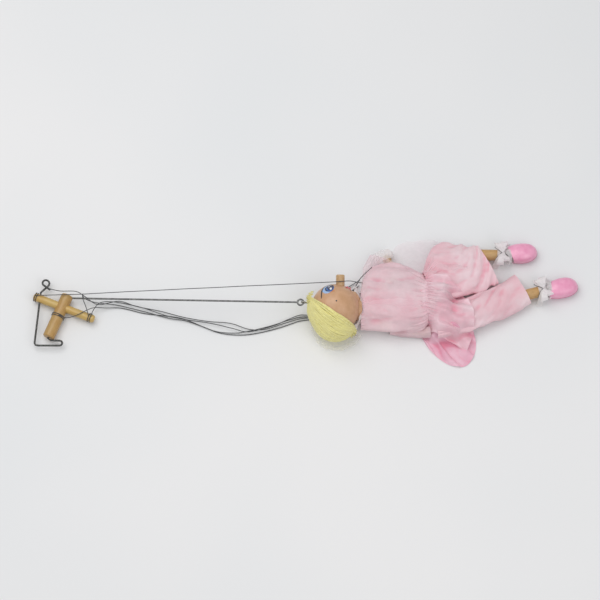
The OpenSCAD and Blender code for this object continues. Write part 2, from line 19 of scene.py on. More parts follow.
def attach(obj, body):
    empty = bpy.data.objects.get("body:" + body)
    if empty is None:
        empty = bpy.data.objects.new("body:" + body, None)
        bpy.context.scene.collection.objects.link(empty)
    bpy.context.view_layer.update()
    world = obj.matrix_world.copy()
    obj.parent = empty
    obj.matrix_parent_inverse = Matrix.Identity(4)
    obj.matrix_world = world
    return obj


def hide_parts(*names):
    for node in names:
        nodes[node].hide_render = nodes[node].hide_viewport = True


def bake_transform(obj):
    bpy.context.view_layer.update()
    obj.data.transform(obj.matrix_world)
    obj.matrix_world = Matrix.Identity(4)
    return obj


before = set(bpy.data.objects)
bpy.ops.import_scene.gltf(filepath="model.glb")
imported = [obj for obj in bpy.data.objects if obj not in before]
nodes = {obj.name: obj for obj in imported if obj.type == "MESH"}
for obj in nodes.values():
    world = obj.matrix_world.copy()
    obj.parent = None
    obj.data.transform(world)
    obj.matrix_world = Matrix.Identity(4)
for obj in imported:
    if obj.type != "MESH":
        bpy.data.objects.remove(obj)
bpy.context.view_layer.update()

# %% [markdown]
# ## Helpers that turn points into meshes
#
# Cloth, yarn and thread are soft, and lie in curves that no box or cylinder has. So most pieces
# here are a grid of points that a formula places, a round tube along a line, or a flat strip along
# a line. They could be sculpted by hand as well, but a formula can be run again after a change.
# Every piece stays at the origin, unturned, so that patterns on Object coordinates stay in place.

# %% Mesh helpers
UP = Vector((0, 0, 1))


def mm(p):
    """A place or direction in millimetres, as the metres that Blender takes."""
    return Vector(p) * 0.001


def above_table(p, gap):
    """The place p, lifted where it would be less than gap above the table."""
    return Vector((p[0], p[1], max(p[2], gap)))


def add_mesh(name, verts, faces, material):
    """A smooth shaded piece with its points in millimetres."""
    mesh = bpy.data.meshes.new(name)
    mesh.from_pydata([mm(v) for v in verts], [], faces)
    mesh.polygons.foreach_set("use_smooth", [True] * len(mesh.polygons))
    mesh.materials.append(material)
    obj = bpy.data.objects.new(name, mesh)
    bpy.context.scene.collection.objects.link(obj)
    spans = [max(v[k] for v in verts) - min(v[k] for v in verts) for k in range(3)]
    print(f"{name}: {len(faces)} faces, {spans[0]:.1f} x {spans[1]:.1f} x {spans[2]:.1f} mm")
    return obj


def grid_faces(rows, cols, wrap, first=0):
    """Faces between the points of a grid whose first point is vertex first; wrap joins its last column."""
    faces = []
    for i in range(rows - 1):
        here, ahead = first + i * cols, first + (i + 1) * cols
        for j in range(cols if wrap else cols - 1):
            k = (j + 1) % cols
            faces.append((here + j, here + k, ahead + k, ahead + j))
    return faces


def add_grid(name, point, rows, cols, material, wrap=False):
    """A surface whose point at (s, u) comes from point(s, u), with s down the rows and u along them."""
    last = cols if wrap else cols - 1
    verts = [point(i / (rows - 1), j / last) for i in range(rows) for j in range(cols)]
    return add_mesh(name, verts, grid_faces(rows, cols, wrap), material)


def mark_folds(obj, rows, cols, wrap=False, reach=6, strength=0.32):
    """Stores how deep in a fold each point of a grid lies, so that painted shade darkens the cloth there.

    A point lies in a fold where the points reach steps away from it stand further out than it does.
    """
    points = [v.co * 1000 for v in obj.data.vertices]
    normals = [Vector(v.normal) for v in obj.data.vertices]
    middle = sum(p.z for p in points) / len(points)
    side = 1 if sum(n.z for n, p in zip(normals, points) if p.z > middle) > 0 else -1
    depth = []
    for i in range(rows):
        for j in range(cols):
            near = [points[k * cols + j] for k in (max(i - reach, 0), min(i + reach, rows - 1))]
            for k in (j - reach, j + reach):
                near.append(points[i * cols + (k % cols if wrap else min(max(k, 0), cols - 1))])
            index = i * cols + j
            hollow = (sum(near, Vector()) / 4 - points[index]).dot(normals[index]) * side
            depth.append(min(1, max(0, 0.5 + strength * hollow)))
    obj.data.attributes.new("fold", "FLOAT", "POINT").data.foreach_set("value", depth)


def curve_between(a, b, c, d, t):
    """The place at t on the smooth curve from b to c, where a comes before them and d after."""
    straight = 2 * b + (c - a) * t
    bend = (2 * a - 5 * b + 4 * c - d) * t * t
    return 0.5 * (straight + bend + (3 * b - a - 3 * c + d) * t ** 3)


def smooth_line(points, per):
    """A smooth line through points, with per steps between each two."""
    pts = [Vector(p) for p in points]
    line = []
    for i in range(len(pts) - 1):
        a, b = pts[max(i - 1, 0)], pts[i]
        c, d = pts[i + 1], pts[min(i + 2, len(pts) - 1)]
        line += [curve_between(a, b, c, d, k / per) for k in range(per)]
    return line + [pts[-1]]


def tube_parts(points, radius, sides, first):
    """Vertices and faces of a round tube along points; its rings keep their turn from one to the next."""
    pts = [Vector(p) for p in points]
    radii = radius if isinstance(radius, list) else [radius] * len(pts)
    verts = []
    side = None
    for i, p in enumerate(pts):
        t = (pts[min(i + 1, len(pts) - 1)] - pts[max(i - 1, 0)]).normalized()
        if side is None:
            side = t.cross(UP if abs(t.z) < 0.9 else Vector((1, 0, 0))).normalized()
        side = (side - side.dot(t) * t).normalized()
        top = side.cross(t)
        for j in range(sides):
            f = 2 * math.pi * j / sides
            verts.append(p + radii[i] * (math.cos(f) * side + math.sin(f) * top))
    faces = grid_faces(len(pts), sides, True, first)
    end = first + (len(pts) - 1) * sides
    faces.append(tuple(first + j for j in range(sides)))
    faces.append(tuple(end + sides - 1 - j for j in range(sides)))
    return verts, faces


def add_tubes(name, runs, sides, material):
    """Many tubes in one mesh: runs is a list of (points, radius)."""
    verts, faces = [], []
    for points, radius in runs:
        v, f = tube_parts(points, radius, sides, len(verts))
        verts += v
        faces += f
    return add_mesh(name, verts, faces, material)


def strip_parts(points, widths, across, first):
    """A flat strip along points, its width lying along the vector that across gives at each point."""
    verts = []
    for i, p in enumerate(points):
        w = Vector(across(i)).normalized() * widths[i] / 2
        verts += [Vector(p) - w, Vector(p), Vector(p) + w]
    return verts, grid_faces(len(points), 3, False, first)


def add_strips(name, runs, material):
    """Many flat strips in one mesh: runs is a list of (points, widths, across)."""
    verts, faces = [], []
    for points, widths, across in runs:
        v, f = strip_parts(points, widths, across, len(verts))
        verts += v
        faces += f
    return add_mesh(name, verts, faces, material)


# %% [markdown]
# ## Helpers that give soft shapes
#
# Folds come from waves, and their unevenness from smooth noise, which is the same at each run. A
# smooth step lets a fold or a gather fade in, because real cloth never starts to fold at once.


# %% Shape helpers
def smoothstep(t):
    """Rises from 0 to 1 with no corner as t goes from 0 to 1."""
    k = min(1, max(0, t))
    return k * k * (3 - 2 * k)


def heading(a):
    """The level direction a degrees round from X."""
    return Vector((math.cos(math.radians(a)), math.sin(math.radians(a)), 0))


def wave(degrees):
    return math.sin(math.radians(degrees))


def ruffle(x, y, z, scale):
    """Smooth uneven height from -1 to 1, whose bumps are about scale wide."""
    return noise.noise(Vector((x, y, z)) / scale)


def crease(x, y, z, scale):
    """Uneven height with sharp ridges, as in pressed and rumpled cloth."""
    return 0.55 - 2.2 * abs(noise.noise(Vector((x, y, z)) / scale))


# %% [markdown]
# ## Camera
#
# The photograph looks down from the doll's right side at 70 degrees, about one millimetre to a
# pixel. It shows next to no perspective, so a long lens from three metres away is used. An
# orthographic camera would do as well, but would lose the little that there is.

# %% Camera
CAMERA_TARGET = (-6, 5, 10)
CAMERA_RISE = 70
CAMERA_AWAY = 3000
CAMERA_LENS, CAMERA_SENSOR = 180, 36
scene = bpy.context.scene
camera = bpy.data.objects.new("camera", bpy.data.cameras.new("camera"))
scene.collection.objects.link(camera)
rise = math.radians(CAMERA_RISE)
camera.location = mm(Vector(CAMERA_TARGET) + CAMERA_AWAY * Vector((0, -math.cos(rise), math.sin(rise))))
camera.rotation_euler = (math.pi / 2 - rise, 0, 0)
camera.data.lens = CAMERA_LENS
camera.data.sensor_width = CAMERA_SENSOR
scene.camera = camera
print(f"the camera sees {CAMERA_AWAY * CAMERA_SENSOR / CAMERA_LENS:.0f} mm across")

# %% [markdown]
# ## Materials
#
# A finish is worked out by nodes at every point of a surface, so it needs no picture and never
# stretches. Colours are written as sRGB values from 0 to 255, as an eye reads them off a picture.
# Blender reckons in linear light, so `colour` turns them. A small class keeps the writing of nodes
# short.


# %% Colours and nodes
def colour(r, g, b):
    """An sRGB colour as linear light; the numbers are those of the sRGB curve."""

    def linear(c):
        c /= 255
        return c / 12.92 if c <= 0.04045 else ((c + 0.055) / 1.055) ** 2.4

    return (linear(r), linear(g), linear(b), 1)


WHITE = colour(255, 255, 255)


class Nodes:
    """A node tree under construction. A value may be a number, a colour or another node's output."""

    def __init__(self, tree):
        self.tree = tree
        self.place = self.add("ShaderNodeTexCoord").outputs["Object"]

    def add(self, kind, **settings):
        node = self.tree.nodes.new(kind)
        for key, value in settings.items():
            setattr(node, key, value)
        return node

    def put(self, socket, value):
        if isinstance(value, bpy.types.NodeSocket):
            self.tree.links.new(value, socket)
        else:
            socket.default_value = value

    def feed(self, node, **values):
        """Gives a node its inputs; From_Min stands for the input From Min."""
        for key, value in values.items():
            self.put(node.inputs[key.replace("_", " ")], value)
        return node

    def noise(self, scale, detail=4, rough=0.55, vector=None):
        node = self.add("ShaderNodeTexNoise")
        self.feed(node, Scale=scale, Detail=detail, Roughness=rough, Vector=vector or self.place)
        return node.outputs["Fac"]

    def bands(self, scale, direction, distortion):
        node = self.add("ShaderNodeTexWave", bands_direction=direction)
        return self.feed(node, Scale=scale, Distortion=distortion, Vector=self.place).outputs["Fac"]

    def math(self, operation, a, b):
        node = self.add("ShaderNodeMath", operation=operation)
        for socket, value in zip(node.inputs, (a, b)):
            self.put(socket, value)
        return node.outputs["Value"]

    def ranged(self, value, low, high):
        """Moves a value of 0 to 1 to the range low to high."""
        node = self.add("ShaderNodeMapRange")
        return self.feed(node, Value=value, To_Min=low, To_Max=high).outputs["Result"]

    def mix(self, value, a, b, low=0.35, high=0.65):
        """Colour a where the value is under low, b where it is over high."""
        share = self.feed(self.add("ShaderNodeMapRange"), Value=value, From_Min=low, From_Max=high)
        node = self.add("ShaderNodeMix", data_type="RGBA")
        return self.feed(node, Factor=share.outputs["Result"], A=a, B=b).outputs["Result"]

    def multiply(self, a, b, share):
        node = self.add("ShaderNodeMix", data_type="RGBA", blend_type="MULTIPLY")
        return self.feed(node, Factor=share, A=a, B=b).outputs["Result"]


class Effect(Nodes):
    """A node group with named inputs and outputs, which several materials share."""

    def __init__(self, name, inputs, outputs):
        tree = bpy.data.node_groups.new(name, "ShaderNodeTree")
        for way, sockets in (("INPUT", inputs), ("OUTPUT", outputs)):
            for title, kind in sockets.items():
                tree.interface.new_socket(title, in_out=way, socket_type="NodeSocket" + kind)
        super().__init__(tree)
        self.given = self.add("NodeGroupInput").outputs
        self.result = self.add("NodeGroupOutput")
        print(f"effect {name}: takes {', '.join(inputs) or 'nothing'}, gives {', '.join(outputs)}")


class Shader(Nodes):
    """A material under construction, with one Principled surface."""

    def __init__(self, name):
        self.material = bpy.data.materials.new(name)
        self.material.use_nodes = True
        self.material.node_tree.nodes.clear()
        super().__init__(self.material.node_tree)
        self.out = self.add("ShaderNodeOutputMaterial")
        self.bsdf = self.add("ShaderNodeBsdfPrincipled")
        self.show(self.bsdf.outputs["BSDF"])

    def show(self, shader):
        self.feed(self.out, Surface=shader)

    def surface(self, **values):
        self.feed(self.bsdf, **values)

    def use(self, effect, **values):
        """The outputs of an effect that is given these values."""
        return self.feed(self.add("ShaderNodeGroup", node_tree=effect.tree), **values).outputs

    def bump(self, height, strength, distance):
        """Lets height tilt the surface; distance is in metres."""
        node = self.feed(self.add("ShaderNodeBump"), Strength=strength, Distance=distance, Height=height)
        self.surface(Normal=node.outputs["Normal"])

    def blend(self, share, first, second):
        """The first shader where share is 0, the second where it is 1."""
        node = self.feed(self.add("ShaderNodeMixShader"), Fac=share)
        self.put(node.inputs[1], first)
        self.put(node.inputs[2], second)
        return node.outputs["Shader"]


# %% [markdown]
# ### Wood
#
# The grip, the cross dowel, the body and the limbs are pale turned wood. Straight grain runs along
# a dowel, so one noise is stretched fifteen times along its heading, and a second, slow one shifts
# the tone. A photo of wood would show more pores, but would have to be unwrapped on each dowel. The
# two dowels of the control are varnished, which a clear coat gives, and the hidden body and limbs
# are nearly bare.

# %% Wood
GRAIN_STRETCH = (0.3, 0.02, 0.02)
WARM_TONE = colour(255, 238, 214)
WOOD_GRAIN = Effect(
    "wood_grain",
    inputs={"Light": "Color", "Dark": "Color", "Turn": "Vector"},
    outputs={"Colour": "Color", "Grain": "Float"},
)


def lay_grain(e):
    laid = e.add("ShaderNodeMapping", vector_type="TEXTURE")
    e.feed(laid, Vector=e.place, Rotation=e.given["Turn"], Scale=GRAIN_STRETCH)
    grain = e.noise(60, detail=6, rough=0.65, vector=laid.outputs["Vector"])
    plain = e.mix(grain, e.given["Dark"], e.given["Light"], low=0.3, high=0.7)
    tone = e.mix(e.noise(45, detail=2), WARM_TONE, WHITE)
    e.feed(e.result, Colour=e.multiply(plain, tone, 0.8), Grain=grain)


lay_grain(WOOD_GRAIN)


def wood(name, light, dark, turn, rough=0.42, coat=0.35):
    """Turned wood whose grain runs turn degrees round from X."""
    s = Shader(name)
    made = s.use(WOOD_GRAIN, Light=light, Dark=dark, Turn=(0, 0, math.radians(turn)))
    s.surface(Base_Color=made["Colour"], Roughness=s.ranged(made["Grain"], rough + 0.12, rough - 0.08))
    s.surface(Coat_Weight=coat, Coat_Roughness=0.25)
    s.bump(made["Grain"], 0.25, 0.0003)
    return s.material


GRIP_TURN, CROSS_TURN, BODY_TURN, LIMB_TURN = -112, -22, 0, 8
grip_wood = wood("grip_wood", colour(190, 157, 97), colour(160, 124, 68), GRIP_TURN)
cross_wood = wood("cross_wood", colour(208, 180, 110), colour(180, 146, 80), CROSS_TURN)
body_wood = wood(
    "body_wood", colour(206, 172, 124), colour(180, 142, 96), BODY_TURN, rough=0.55, coat=0.1
)
limb_wood = wood(
    "limb_wood", colour(206, 174, 124), colour(170, 134, 84), LIMB_TURN, rough=0.5, coat=0.15
)

# %% [markdown]
# ### Wire
#
# The lever and the rod are drawn steel wire under a dull dark skin, and the screw eyes are
# brighter. Plain metal would look new, so a fine noise rubs the skin lighter and rougher in spots.

# %% Wire
RUBBED_SKIN = Effect(
    "rubbed_skin",
    inputs={"Light": "Color", "Dark": "Color"},
    outputs={"Colour": "Color", "Wear": "Float"},
)
wear = RUBBED_SKIN.noise(400, detail=5, rough=0.7)
rubbed = RUBBED_SKIN.mix(wear, RUBBED_SKIN.given["Dark"], RUBBED_SKIN.given["Light"], low=0.4, high=0.72)
RUBBED_SKIN.feed(RUBBED_SKIN.result, Colour=rubbed, Wear=wear)


def wire(name, light, dark, rough):
    """Drawn wire; rough is its roughness where the skin isn't rubbed."""
    s = Shader(name)
    made = s.use(RUBBED_SKIN, Light=light, Dark=dark)
    s.surface(Base_Color=made["Colour"], Metallic=0.85)
    s.surface(Roughness=s.ranged(made["Wear"], rough, rough + 0.2))
    s.bump(s.noise(1500, detail=3), 0.1, 0.0001)
    return s.material


black_wire = wire("black_wire", colour(120, 120, 117), colour(62, 62, 62), rough=0.35)
rod_wire = wire("rod_wire", colour(150, 150, 148), colour(92, 92, 92), rough=0.3)
steel_eye = wire("steel_eye", colour(190, 186, 176), colour(140, 136, 128), rough=0.25)

# %% [markdown]
# ### Thread and yarn
#
# Thread is two or three plies twisted together, and yarn is the same, thicker and softer. Slanted
# bands stand for the twist: they tilt the surface, and they colour the grooves between the plies
# darker as painted shade. A noise breaks them into fibres, and a little sheen gives the soft edge.
# Modelled plies would be truer, but hundreds of strands would make the piece far too heavy.

# %% Thread and yarn
PLY_TWIST = Effect(
    "ply_twist",
    inputs={"Light": "Color", "Dark": "Color", "Bands": "Float"},
    outputs={"Colour": "Color", "Height": "Float"},
)
twist = PLY_TWIST.bands(PLY_TWIST.given["Bands"], "DIAGONAL", distortion=3)
fuzz = PLY_TWIST.math("MULTIPLY", twist, PLY_TWIST.noise(420))
# Painted shade: the grooves between the plies are coloured darker, broken into fibres by the noise.
ply_groove_shade = PLY_TWIST.mix(fuzz, PLY_TWIST.given["Dark"], PLY_TWIST.given["Light"], low=0.05, high=0.4)
PLY_TWIST.feed(PLY_TWIST.result, Colour=ply_groove_shade, Height=twist)


def fibre(name, light, dark, bands, rough=0.8):
    """Twisted thread or yarn; more bands stand for finer plies."""
    s = Shader(name)
    made = s.use(PLY_TWIST, Light=light, Dark=dark, Bands=bands)
    s.surface(Base_Color=made["Colour"], Roughness=rough, Sheen_Weight=0.4)
    s.bump(made["Height"], 0.4, 0.0003)
    return s.material


thread = fibre("thread", colour(78, 78, 80), colour(30, 30, 33), bands=900)
yarn = fibre("yarn", colour(246, 240, 170), colour(214, 202, 120), bands=420, rough=0.85)
# The strands' yarn made darker: painted shade for the cap that lies under the strands.
shaded_yarn = fibre("shaded_yarn", colour(226, 214, 140), colour(186, 172, 98), bands=300, rough=0.9)

# %% [markdown]
# ### Cloth and net
#
# The clothes are thin dyed cotton and net. The two sets of threads are bands along X and along Y,
# whose product is high where they cross, and it is used as a bump, because threads under a
# millimetre are too fine to model. Uneven dye comes from a slow noise. Light shines through thin
# cloth, so a translucent shader is mixed in. Net is cloth that covers only a part of what lies
# behind it, so a mask lets the rest through. Shade is painted into the folds: `mark_folds` stores
# how deep in a fold each point lies, and there the cloth's colour is darkened to a deeper pink.

# %% Cloth and net
WAVE_LENGTH = 0.314  # metres from one band to the next at scale 1
# The deeper pink of the painted shade in folds.
FOLD_SHADE_COLOUR = colour(250, 206, 217)
UNEVEN_TONE = Effect(
    "uneven_tone",
    inputs={"Light": "Color", "Deep": "Color", "Scale": "Float", "Detail": "Float"},
    outputs={"Colour": "Color"},
)
patches = UNEVEN_TONE.noise(UNEVEN_TONE.given["Scale"], detail=UNEVEN_TONE.given["Detail"])
uneven = UNEVEN_TONE.mix(patches, UNEVEN_TONE.given["Deep"], UNEVEN_TONE.given["Light"])
UNEVEN_TONE.feed(UNEVEN_TONE.result, Colour=uneven)

# Painted shade: the deeper a point lies in a fold, the more its colour turns to that deeper pink.
FOLD_SHADE = Effect("fold_shade", inputs={"Colour": "Color"}, outputs={"Colour": "Color"})
depth = FOLD_SHADE.add("ShaderNodeAttribute", attribute_name="fold").outputs["Fac"]
hollow = FOLD_SHADE.mix(depth, WHITE, FOLD_SHADE_COLOUR, low=0.5, high=0.95)
FOLD_SHADE.feed(FOLD_SHADE.result, Colour=FOLD_SHADE.multiply(FOLD_SHADE.given["Colour"], hollow, 1))

WEAVE = Effect("weave", inputs={"Bands": "Float"}, outputs={"Height": "Float"})
warp, weft = (WEAVE.bands(WEAVE.given["Bands"], axis, distortion=1.5) for axis in "XY")
crumple = WEAVE.math("MULTIPLY", WEAVE.noise(260), 1.6)
WEAVE.feed(WEAVE.result, Height=WEAVE.math("ADD", WEAVE.math("MULTIPLY", warp, weft), crumple))

OPEN_THREADS = Effect("open_threads", inputs={"Cover": "Float"}, outputs={"Mask": "Float"})
unevenness = OPEN_THREADS.ranged(OPEN_THREADS.noise(90, detail=3), -0.14, 0.14)
mask = OPEN_THREADS.math("ADD", OPEN_THREADS.given["Cover"], unevenness)
OPEN_THREADS.feed(OPEN_THREADS.result, Mask=mask)


def cloth(name, light, deep, weave, cover=1.0, through=0.3, sheen=0.35):
    """Cloth with threads weave millimetres apart, and with through as its share of light from behind."""
    s = Shader(name)
    dyed = s.use(UNEVEN_TONE, Light=light, Deep=deep, Scale=38, Detail=3)["Colour"]
    # The dyed colour with painted shade in its folds.
    fold_shaded = s.use(FOLD_SHADE, Colour=dyed)["Colour"]
    s.surface(Base_Color=fold_shaded, Roughness=0.75, Sheen_Weight=sheen, Sheen_Roughness=0.4)
    s.bump(s.use(WEAVE, Bands=WAVE_LENGTH / weave * 1000)["Height"], 0.35, 0.0004)
    glow = s.feed(s.add("ShaderNodeBsdfTranslucent"), Color=fold_shaded)
    seen = s.blend(through, s.bsdf.outputs["BSDF"], glow.outputs["BSDF"])
    if cover < 1:
        gap = s.add("ShaderNodeBsdfTransparent")
        seen = s.blend(s.use(OPEN_THREADS, Cover=cover)["Mask"], gap.outputs["BSDF"], seen)
    s.show(seen)
    return s.material


veil_net = cloth(
    "veil_net", colour(255, 254, 248), colour(250, 248, 238), 1.2, cover=0.42, through=0.45
)
lace_net = cloth(
    "lace_net", colour(255, 252, 252), colour(250, 244, 246), 0.9, cover=0.86, through=0.35
)
bodice_cloth = cloth("bodice_cloth", colour(252, 226, 232), colour(248, 204, 214), 0.6, through=0.25)
blouse_cloth = cloth(
    "blouse_cloth", colour(255, 232, 237), colour(250, 214, 222), 0.7, cover=0.85, through=0.25
)
skirt_cloth = cloth(
    "skirt_cloth", colour(255, 234, 240), colour(250, 208, 219), 0.6, cover=0.94, through=0.25
)
flap_cloth = cloth("flap_cloth", colour(252, 212, 226), colour(242, 176, 198), 0.6, through=0.2)
trouser_cloth = cloth("trouser_cloth", colour(255, 230, 236), colour(249, 206, 215), 0.6, through=0.22)
sleeve_net = cloth(
    "sleeve_net", colour(254, 240, 243), colour(250, 228, 234), 1.0, cover=0.42, through=0.2
)
haze_net = cloth("haze_net", colour(252, 236, 240), colour(250, 228, 234), 1.0, cover=0.2, through=0.2)
white_net = cloth(
    "white_net", colour(255, 253, 253), colour(250, 246, 247), 1.0, cover=0.7, through=0.4
)
ribbon = cloth(
    "ribbon", colour(255, 253, 253), colour(250, 244, 246), 0.5, cover=0.86, through=0.45, sheen=0.6
)

# %% [markdown]
# ### Paint
#
# The head, the face and the shoes are painted by hand with a brush. Such paint is never quite even,
# so its tone and its gloss wander a little, and its surface is very slightly rough under a thin
# clear coat.


# %% Paint
def paint(name, light, deep, rough=0.4, coat=0.3):
    """Brushed paint; coat is the strength of its clear coat."""
    s = Shader(name)
    s.surface(Base_Color=s.use(UNEVEN_TONE, Light=light, Deep=deep, Scale=180, Detail=4)["Colour"])
    s.surface(Roughness=s.ranged(s.noise(300, detail=3), rough - 0.06, rough + 0.08))
    s.surface(Coat_Weight=coat, Coat_Roughness=0.2)
    s.bump(s.noise(900, detail=3), 0.08, 0.0001)
    return s.material


skin = paint("skin", colour(204, 160, 124), colour(192, 148, 110))
nose_skin = paint("nose_skin", colour(200, 166, 122), colour(182, 144, 100))
shoe_pink = paint("shoe_pink", colour(240, 168, 197), colour(232, 150, 184), rough=0.3, coat=0.6)
# A darker copy of the shoe's pink: painted shade along the bottom edge of each shoe.
edge_shade_pink = paint("edge_shade_pink", colour(214, 120, 156), colour(204, 108, 146), rough=0.5, coat=0.2)
eye_blue = paint("eye_blue", colour(168, 194, 228), colour(146, 178, 222), rough=0.3, coat=0.5)
iris_blue = paint("iris_blue", colour(66, 118, 190), colour(48, 98, 172), rough=0.25, coat=0.6)
pupil_blue = paint("pupil_blue", colour(22, 38, 92), colour(14, 26, 70), rough=0.25, coat=0.6)
eye_white = paint("eye_white", colour(246, 246, 244), colour(236, 238, 240), rough=0.25, coat=0.6)
lash_black = paint("lash_black", colour(24, 22, 24), colour(14, 13, 15), rough=0.35, coat=0.4)
lash_orange = paint("lash_orange", colour(206, 118, 58), colour(190, 100, 46), rough=0.35, coat=0.4)
lip_red = paint("lip_red", colour(206, 62, 72), colour(188, 44, 58), rough=0.25, coat=0.6)

# %% [markdown]
# ### The parts that stay
#
# The wooden and wire parts have their final shape in the CAD model already, so they only get a
# material. The four limbs and all screw eyes are found by how their names begin or end.

# %% Materials of the CAD parts
PART_MATERIALS = {
    "grip": grip_wood,
    "cross_dowel": cross_wood,
    "lever_wire": black_wire,
    "head_rod": rod_wire,
    "string_ties": thread,
    "head_ball": skin,
    "nose_peg": nose_skin,
    "torso": body_wood,
}
for node_name, node in nodes.items():
    if node_name.endswith(("_eye", "_eyes")):
        PART_MATERIALS[node_name] = steel_eye
    elif node_name.startswith(("upper_arm", "forearm", "thigh", "shin")):
        PART_MATERIALS[node_name] = limb_wood
for node_name, material in PART_MATERIALS.items():
    nodes[node_name].data.materials.clear()
    nodes[node_name].data.materials.append(material)
print(len(PART_MATERIALS), "CAD parts keep their shape and get a material")

# %% [markdown]
# ## Strings
#
# Five black threads run from the control to the doll: one over the nose to the left shoulder, the
# others along the rod and behind the head. The puppet moves when a thread is pulled. The routes
# repeat the CAD model's points, and each is drawn as a fine round tube on a smooth line through
# them. A curve object with a bevel would look the same, but a mesh can be handed on as it is.

# %% Strings
STRING_D = 0.8
ROUTES = {
    "string_1": [
        (-270.5, 9, 12.1), (-250, 9, 13.9), (-225, 9, 16), (-200, 9.5, 18.5), (-175, 10, 21),
        (-150, 10.5, 23), (-120, 11, 26), (-90, 11.5, 28.5), (-60, 12, 31.5), (-25, 12.5, 34.5),
        (10, 13, 38), (35, 13.6, 40.2), (43, 15.7, 36), (51, 18.5, 25), (57.5, 20.5, 16.5),
    ],
    "string_2": [
        (-258, 17, 11.1), (-246, 13.5, 13), (-230, 12.5, 14.5), (-221, 7.5, 13.5), (-208, 1, 7.5),
        (-187.4, 6.3, 2.6), (-169.4, 0.7, 2.6), (-145.4, -4.4, 2.6), (-121.4, -11, 2.6),
        (-97.4, -15.2, 2.6), (-75.4, -17.2, 2.6), (-57.4, -23.4, 2.6), (-41.4, -23.6, 2.6),
        (-24, -18, 2.4), (-6, -12, 1.5), (12, -9, 1.5), (18, 4, 1.5), (30, 8, 1.5), (41, 8, 2.5),
        (48, 17, 6), (54, 26, 14), (66, 37, 18),
    ],
    "string_3": [
        (-217, -12.5, 12.1), (-219.5, -4, 13.5), (-222.5, 4, 12.5), (-223.5, 8.5, 11.5),
        (-223.5, 11, 8.5), (-221.5, 8, 6), (-212, 4, 6), (-200, 3, 4), (-187.4, 2.1, 1.7),
        (-161.4, -4.6, 1.7), (-137.4, -11.4, 1.7), (-121.4, -14, 1.7), (-105.4, -19.4, 1.7),
        (-89.4, -25.6, 1.7), (-71.4, -27.2, 1.7), (-57.4, -25.2, 1.7), (-35.4, -19.6, 1.6),
        (-18, -13.6, 1.5), (-6, -10, 0.9), (10, -8, 0.9), (16.5, 5.5, 0.9), (30, 10, 0.9),
        (42, 15.5, 0.9), (53.5, 23.5, 1.2),
    ],
    "string_4": [
        (-215, -13, 12.1), (-211, -4, 11.5), (-205.5, 2.5, 9), (-196, 5, 5), (-182, 3.6, 3.5),
        (-161.4, -1.6, 3.5), (-141.4, -8.8, 3.5), (-121.4, -13.4, 3.5), (-95.4, -17.4, 3.5),
        (-73.4, -22.8, 3.5), (-57.4, -26.4, 3.5), (-33.4, -20.2, 3.2), (-17, -12.6, 2.4), (-6, -8, 1.6),
        (8, -7, 1.6), (15, 7, 1.6), (30, 12, 1.6), (40, 20, 1.6), (54, 29, 2),
    ],
    "string_5": [
        (-246.5, -12, 14.1), (-240, -14.5, 12), (-232, -13, 11.5), (-226, -10.5, 12), (-220, -7, 11.5),
        (-212, -2.5, 8), (-200, -1, 3), (-185, -0.4, 0.8), (-161.4, -6.2, 0.8), (-137.4, -9, 0.8),
        (-121.4, -12.2, 0.8), (-101.4, -20.8, 0.8), (-85.4, -27, 0.8), (-65.4, -29, 0.8),
        (-47.4, -26.8, 0.8), (-27.4, -21.6, 0.8), (-13, -16.4, 0.7), (-6, -14, 0.7), (13.5, -10, 0.7),
        (19, 2, 0.7), (30, 6.5, 0.7), (43, 6.5, 0.8), (55, 15.5, 1.2),
    ],
}
STRING_STEPS, STRING_SIDES = 5, 8
for name, route in ROUTES.items():
    line = smooth_line(route, STRING_STEPS)
    piece = add_tubes(name + "_thread", [(line, STRING_D / 2)], STRING_SIDES, thread)
    print(f"{name} is {sum((b - a).length for a, b in zip(line, line[1:])):.0f} mm long along its route")
    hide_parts(name)
    tuple(mm(route[0]))
    [tuple(mm(p)) for p in line]
    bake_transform(piece)

# %% [markdown]
# ## Head: painted face
#
# The eyes, brows and lips are brushed on the wooden ball, one layer of paint over the other. They
# could be a painted texture, but the ball's mesh has no unwrapped map. So each patch of paint is a
# thin sheet of its own just above the ball, and later layers lie a little higher. A place on the
# ball is given by two angles: how far it is turned from the face's middle towards the side that
# faces up, and how far towards the chin.

# %% Places on the head
HEAD_C = Vector((29.0058, -9.5, 26))
HEAD_R = 24
FACE_TILT = math.radians(20)
FACE = Vector((0, math.cos(FACE_TILT), math.sin(FACE_TILT)))
SIDE = Vector((0, -math.sin(FACE_TILT), math.cos(FACE_TILT)))
CHIN = Vector((1, 0, 0))


def on_head(a, b, lift=0.0):
    """The place on the ball at the angles a and b, lifted off it."""
    a, b = math.radians(a), math.radians(b)
    way = math.cos(b) * (math.cos(a) * FACE + math.sin(a) * SIDE) + math.sin(b) * CHIN
    return HEAD_C + (HEAD_R + lift) * way


def on_face(a0, b0, x, y, turn=0.0):
    """Angles of the place x mm towards the chin and y mm towards the side from (a0, b0)."""
    t = math.radians(turn)
    x, y = x * math.cos(t) - y * math.sin(t), x * math.sin(t) + y * math.cos(t)
    return a0 + math.degrees(y / HEAD_R / math.cos(math.radians(b0))), b0 + math.degrees(x / HEAD_R)


# %% Brush marks
SPOT_SIDES, SPOT_RINGS = 36, 6
STROKE_STEPS = 5


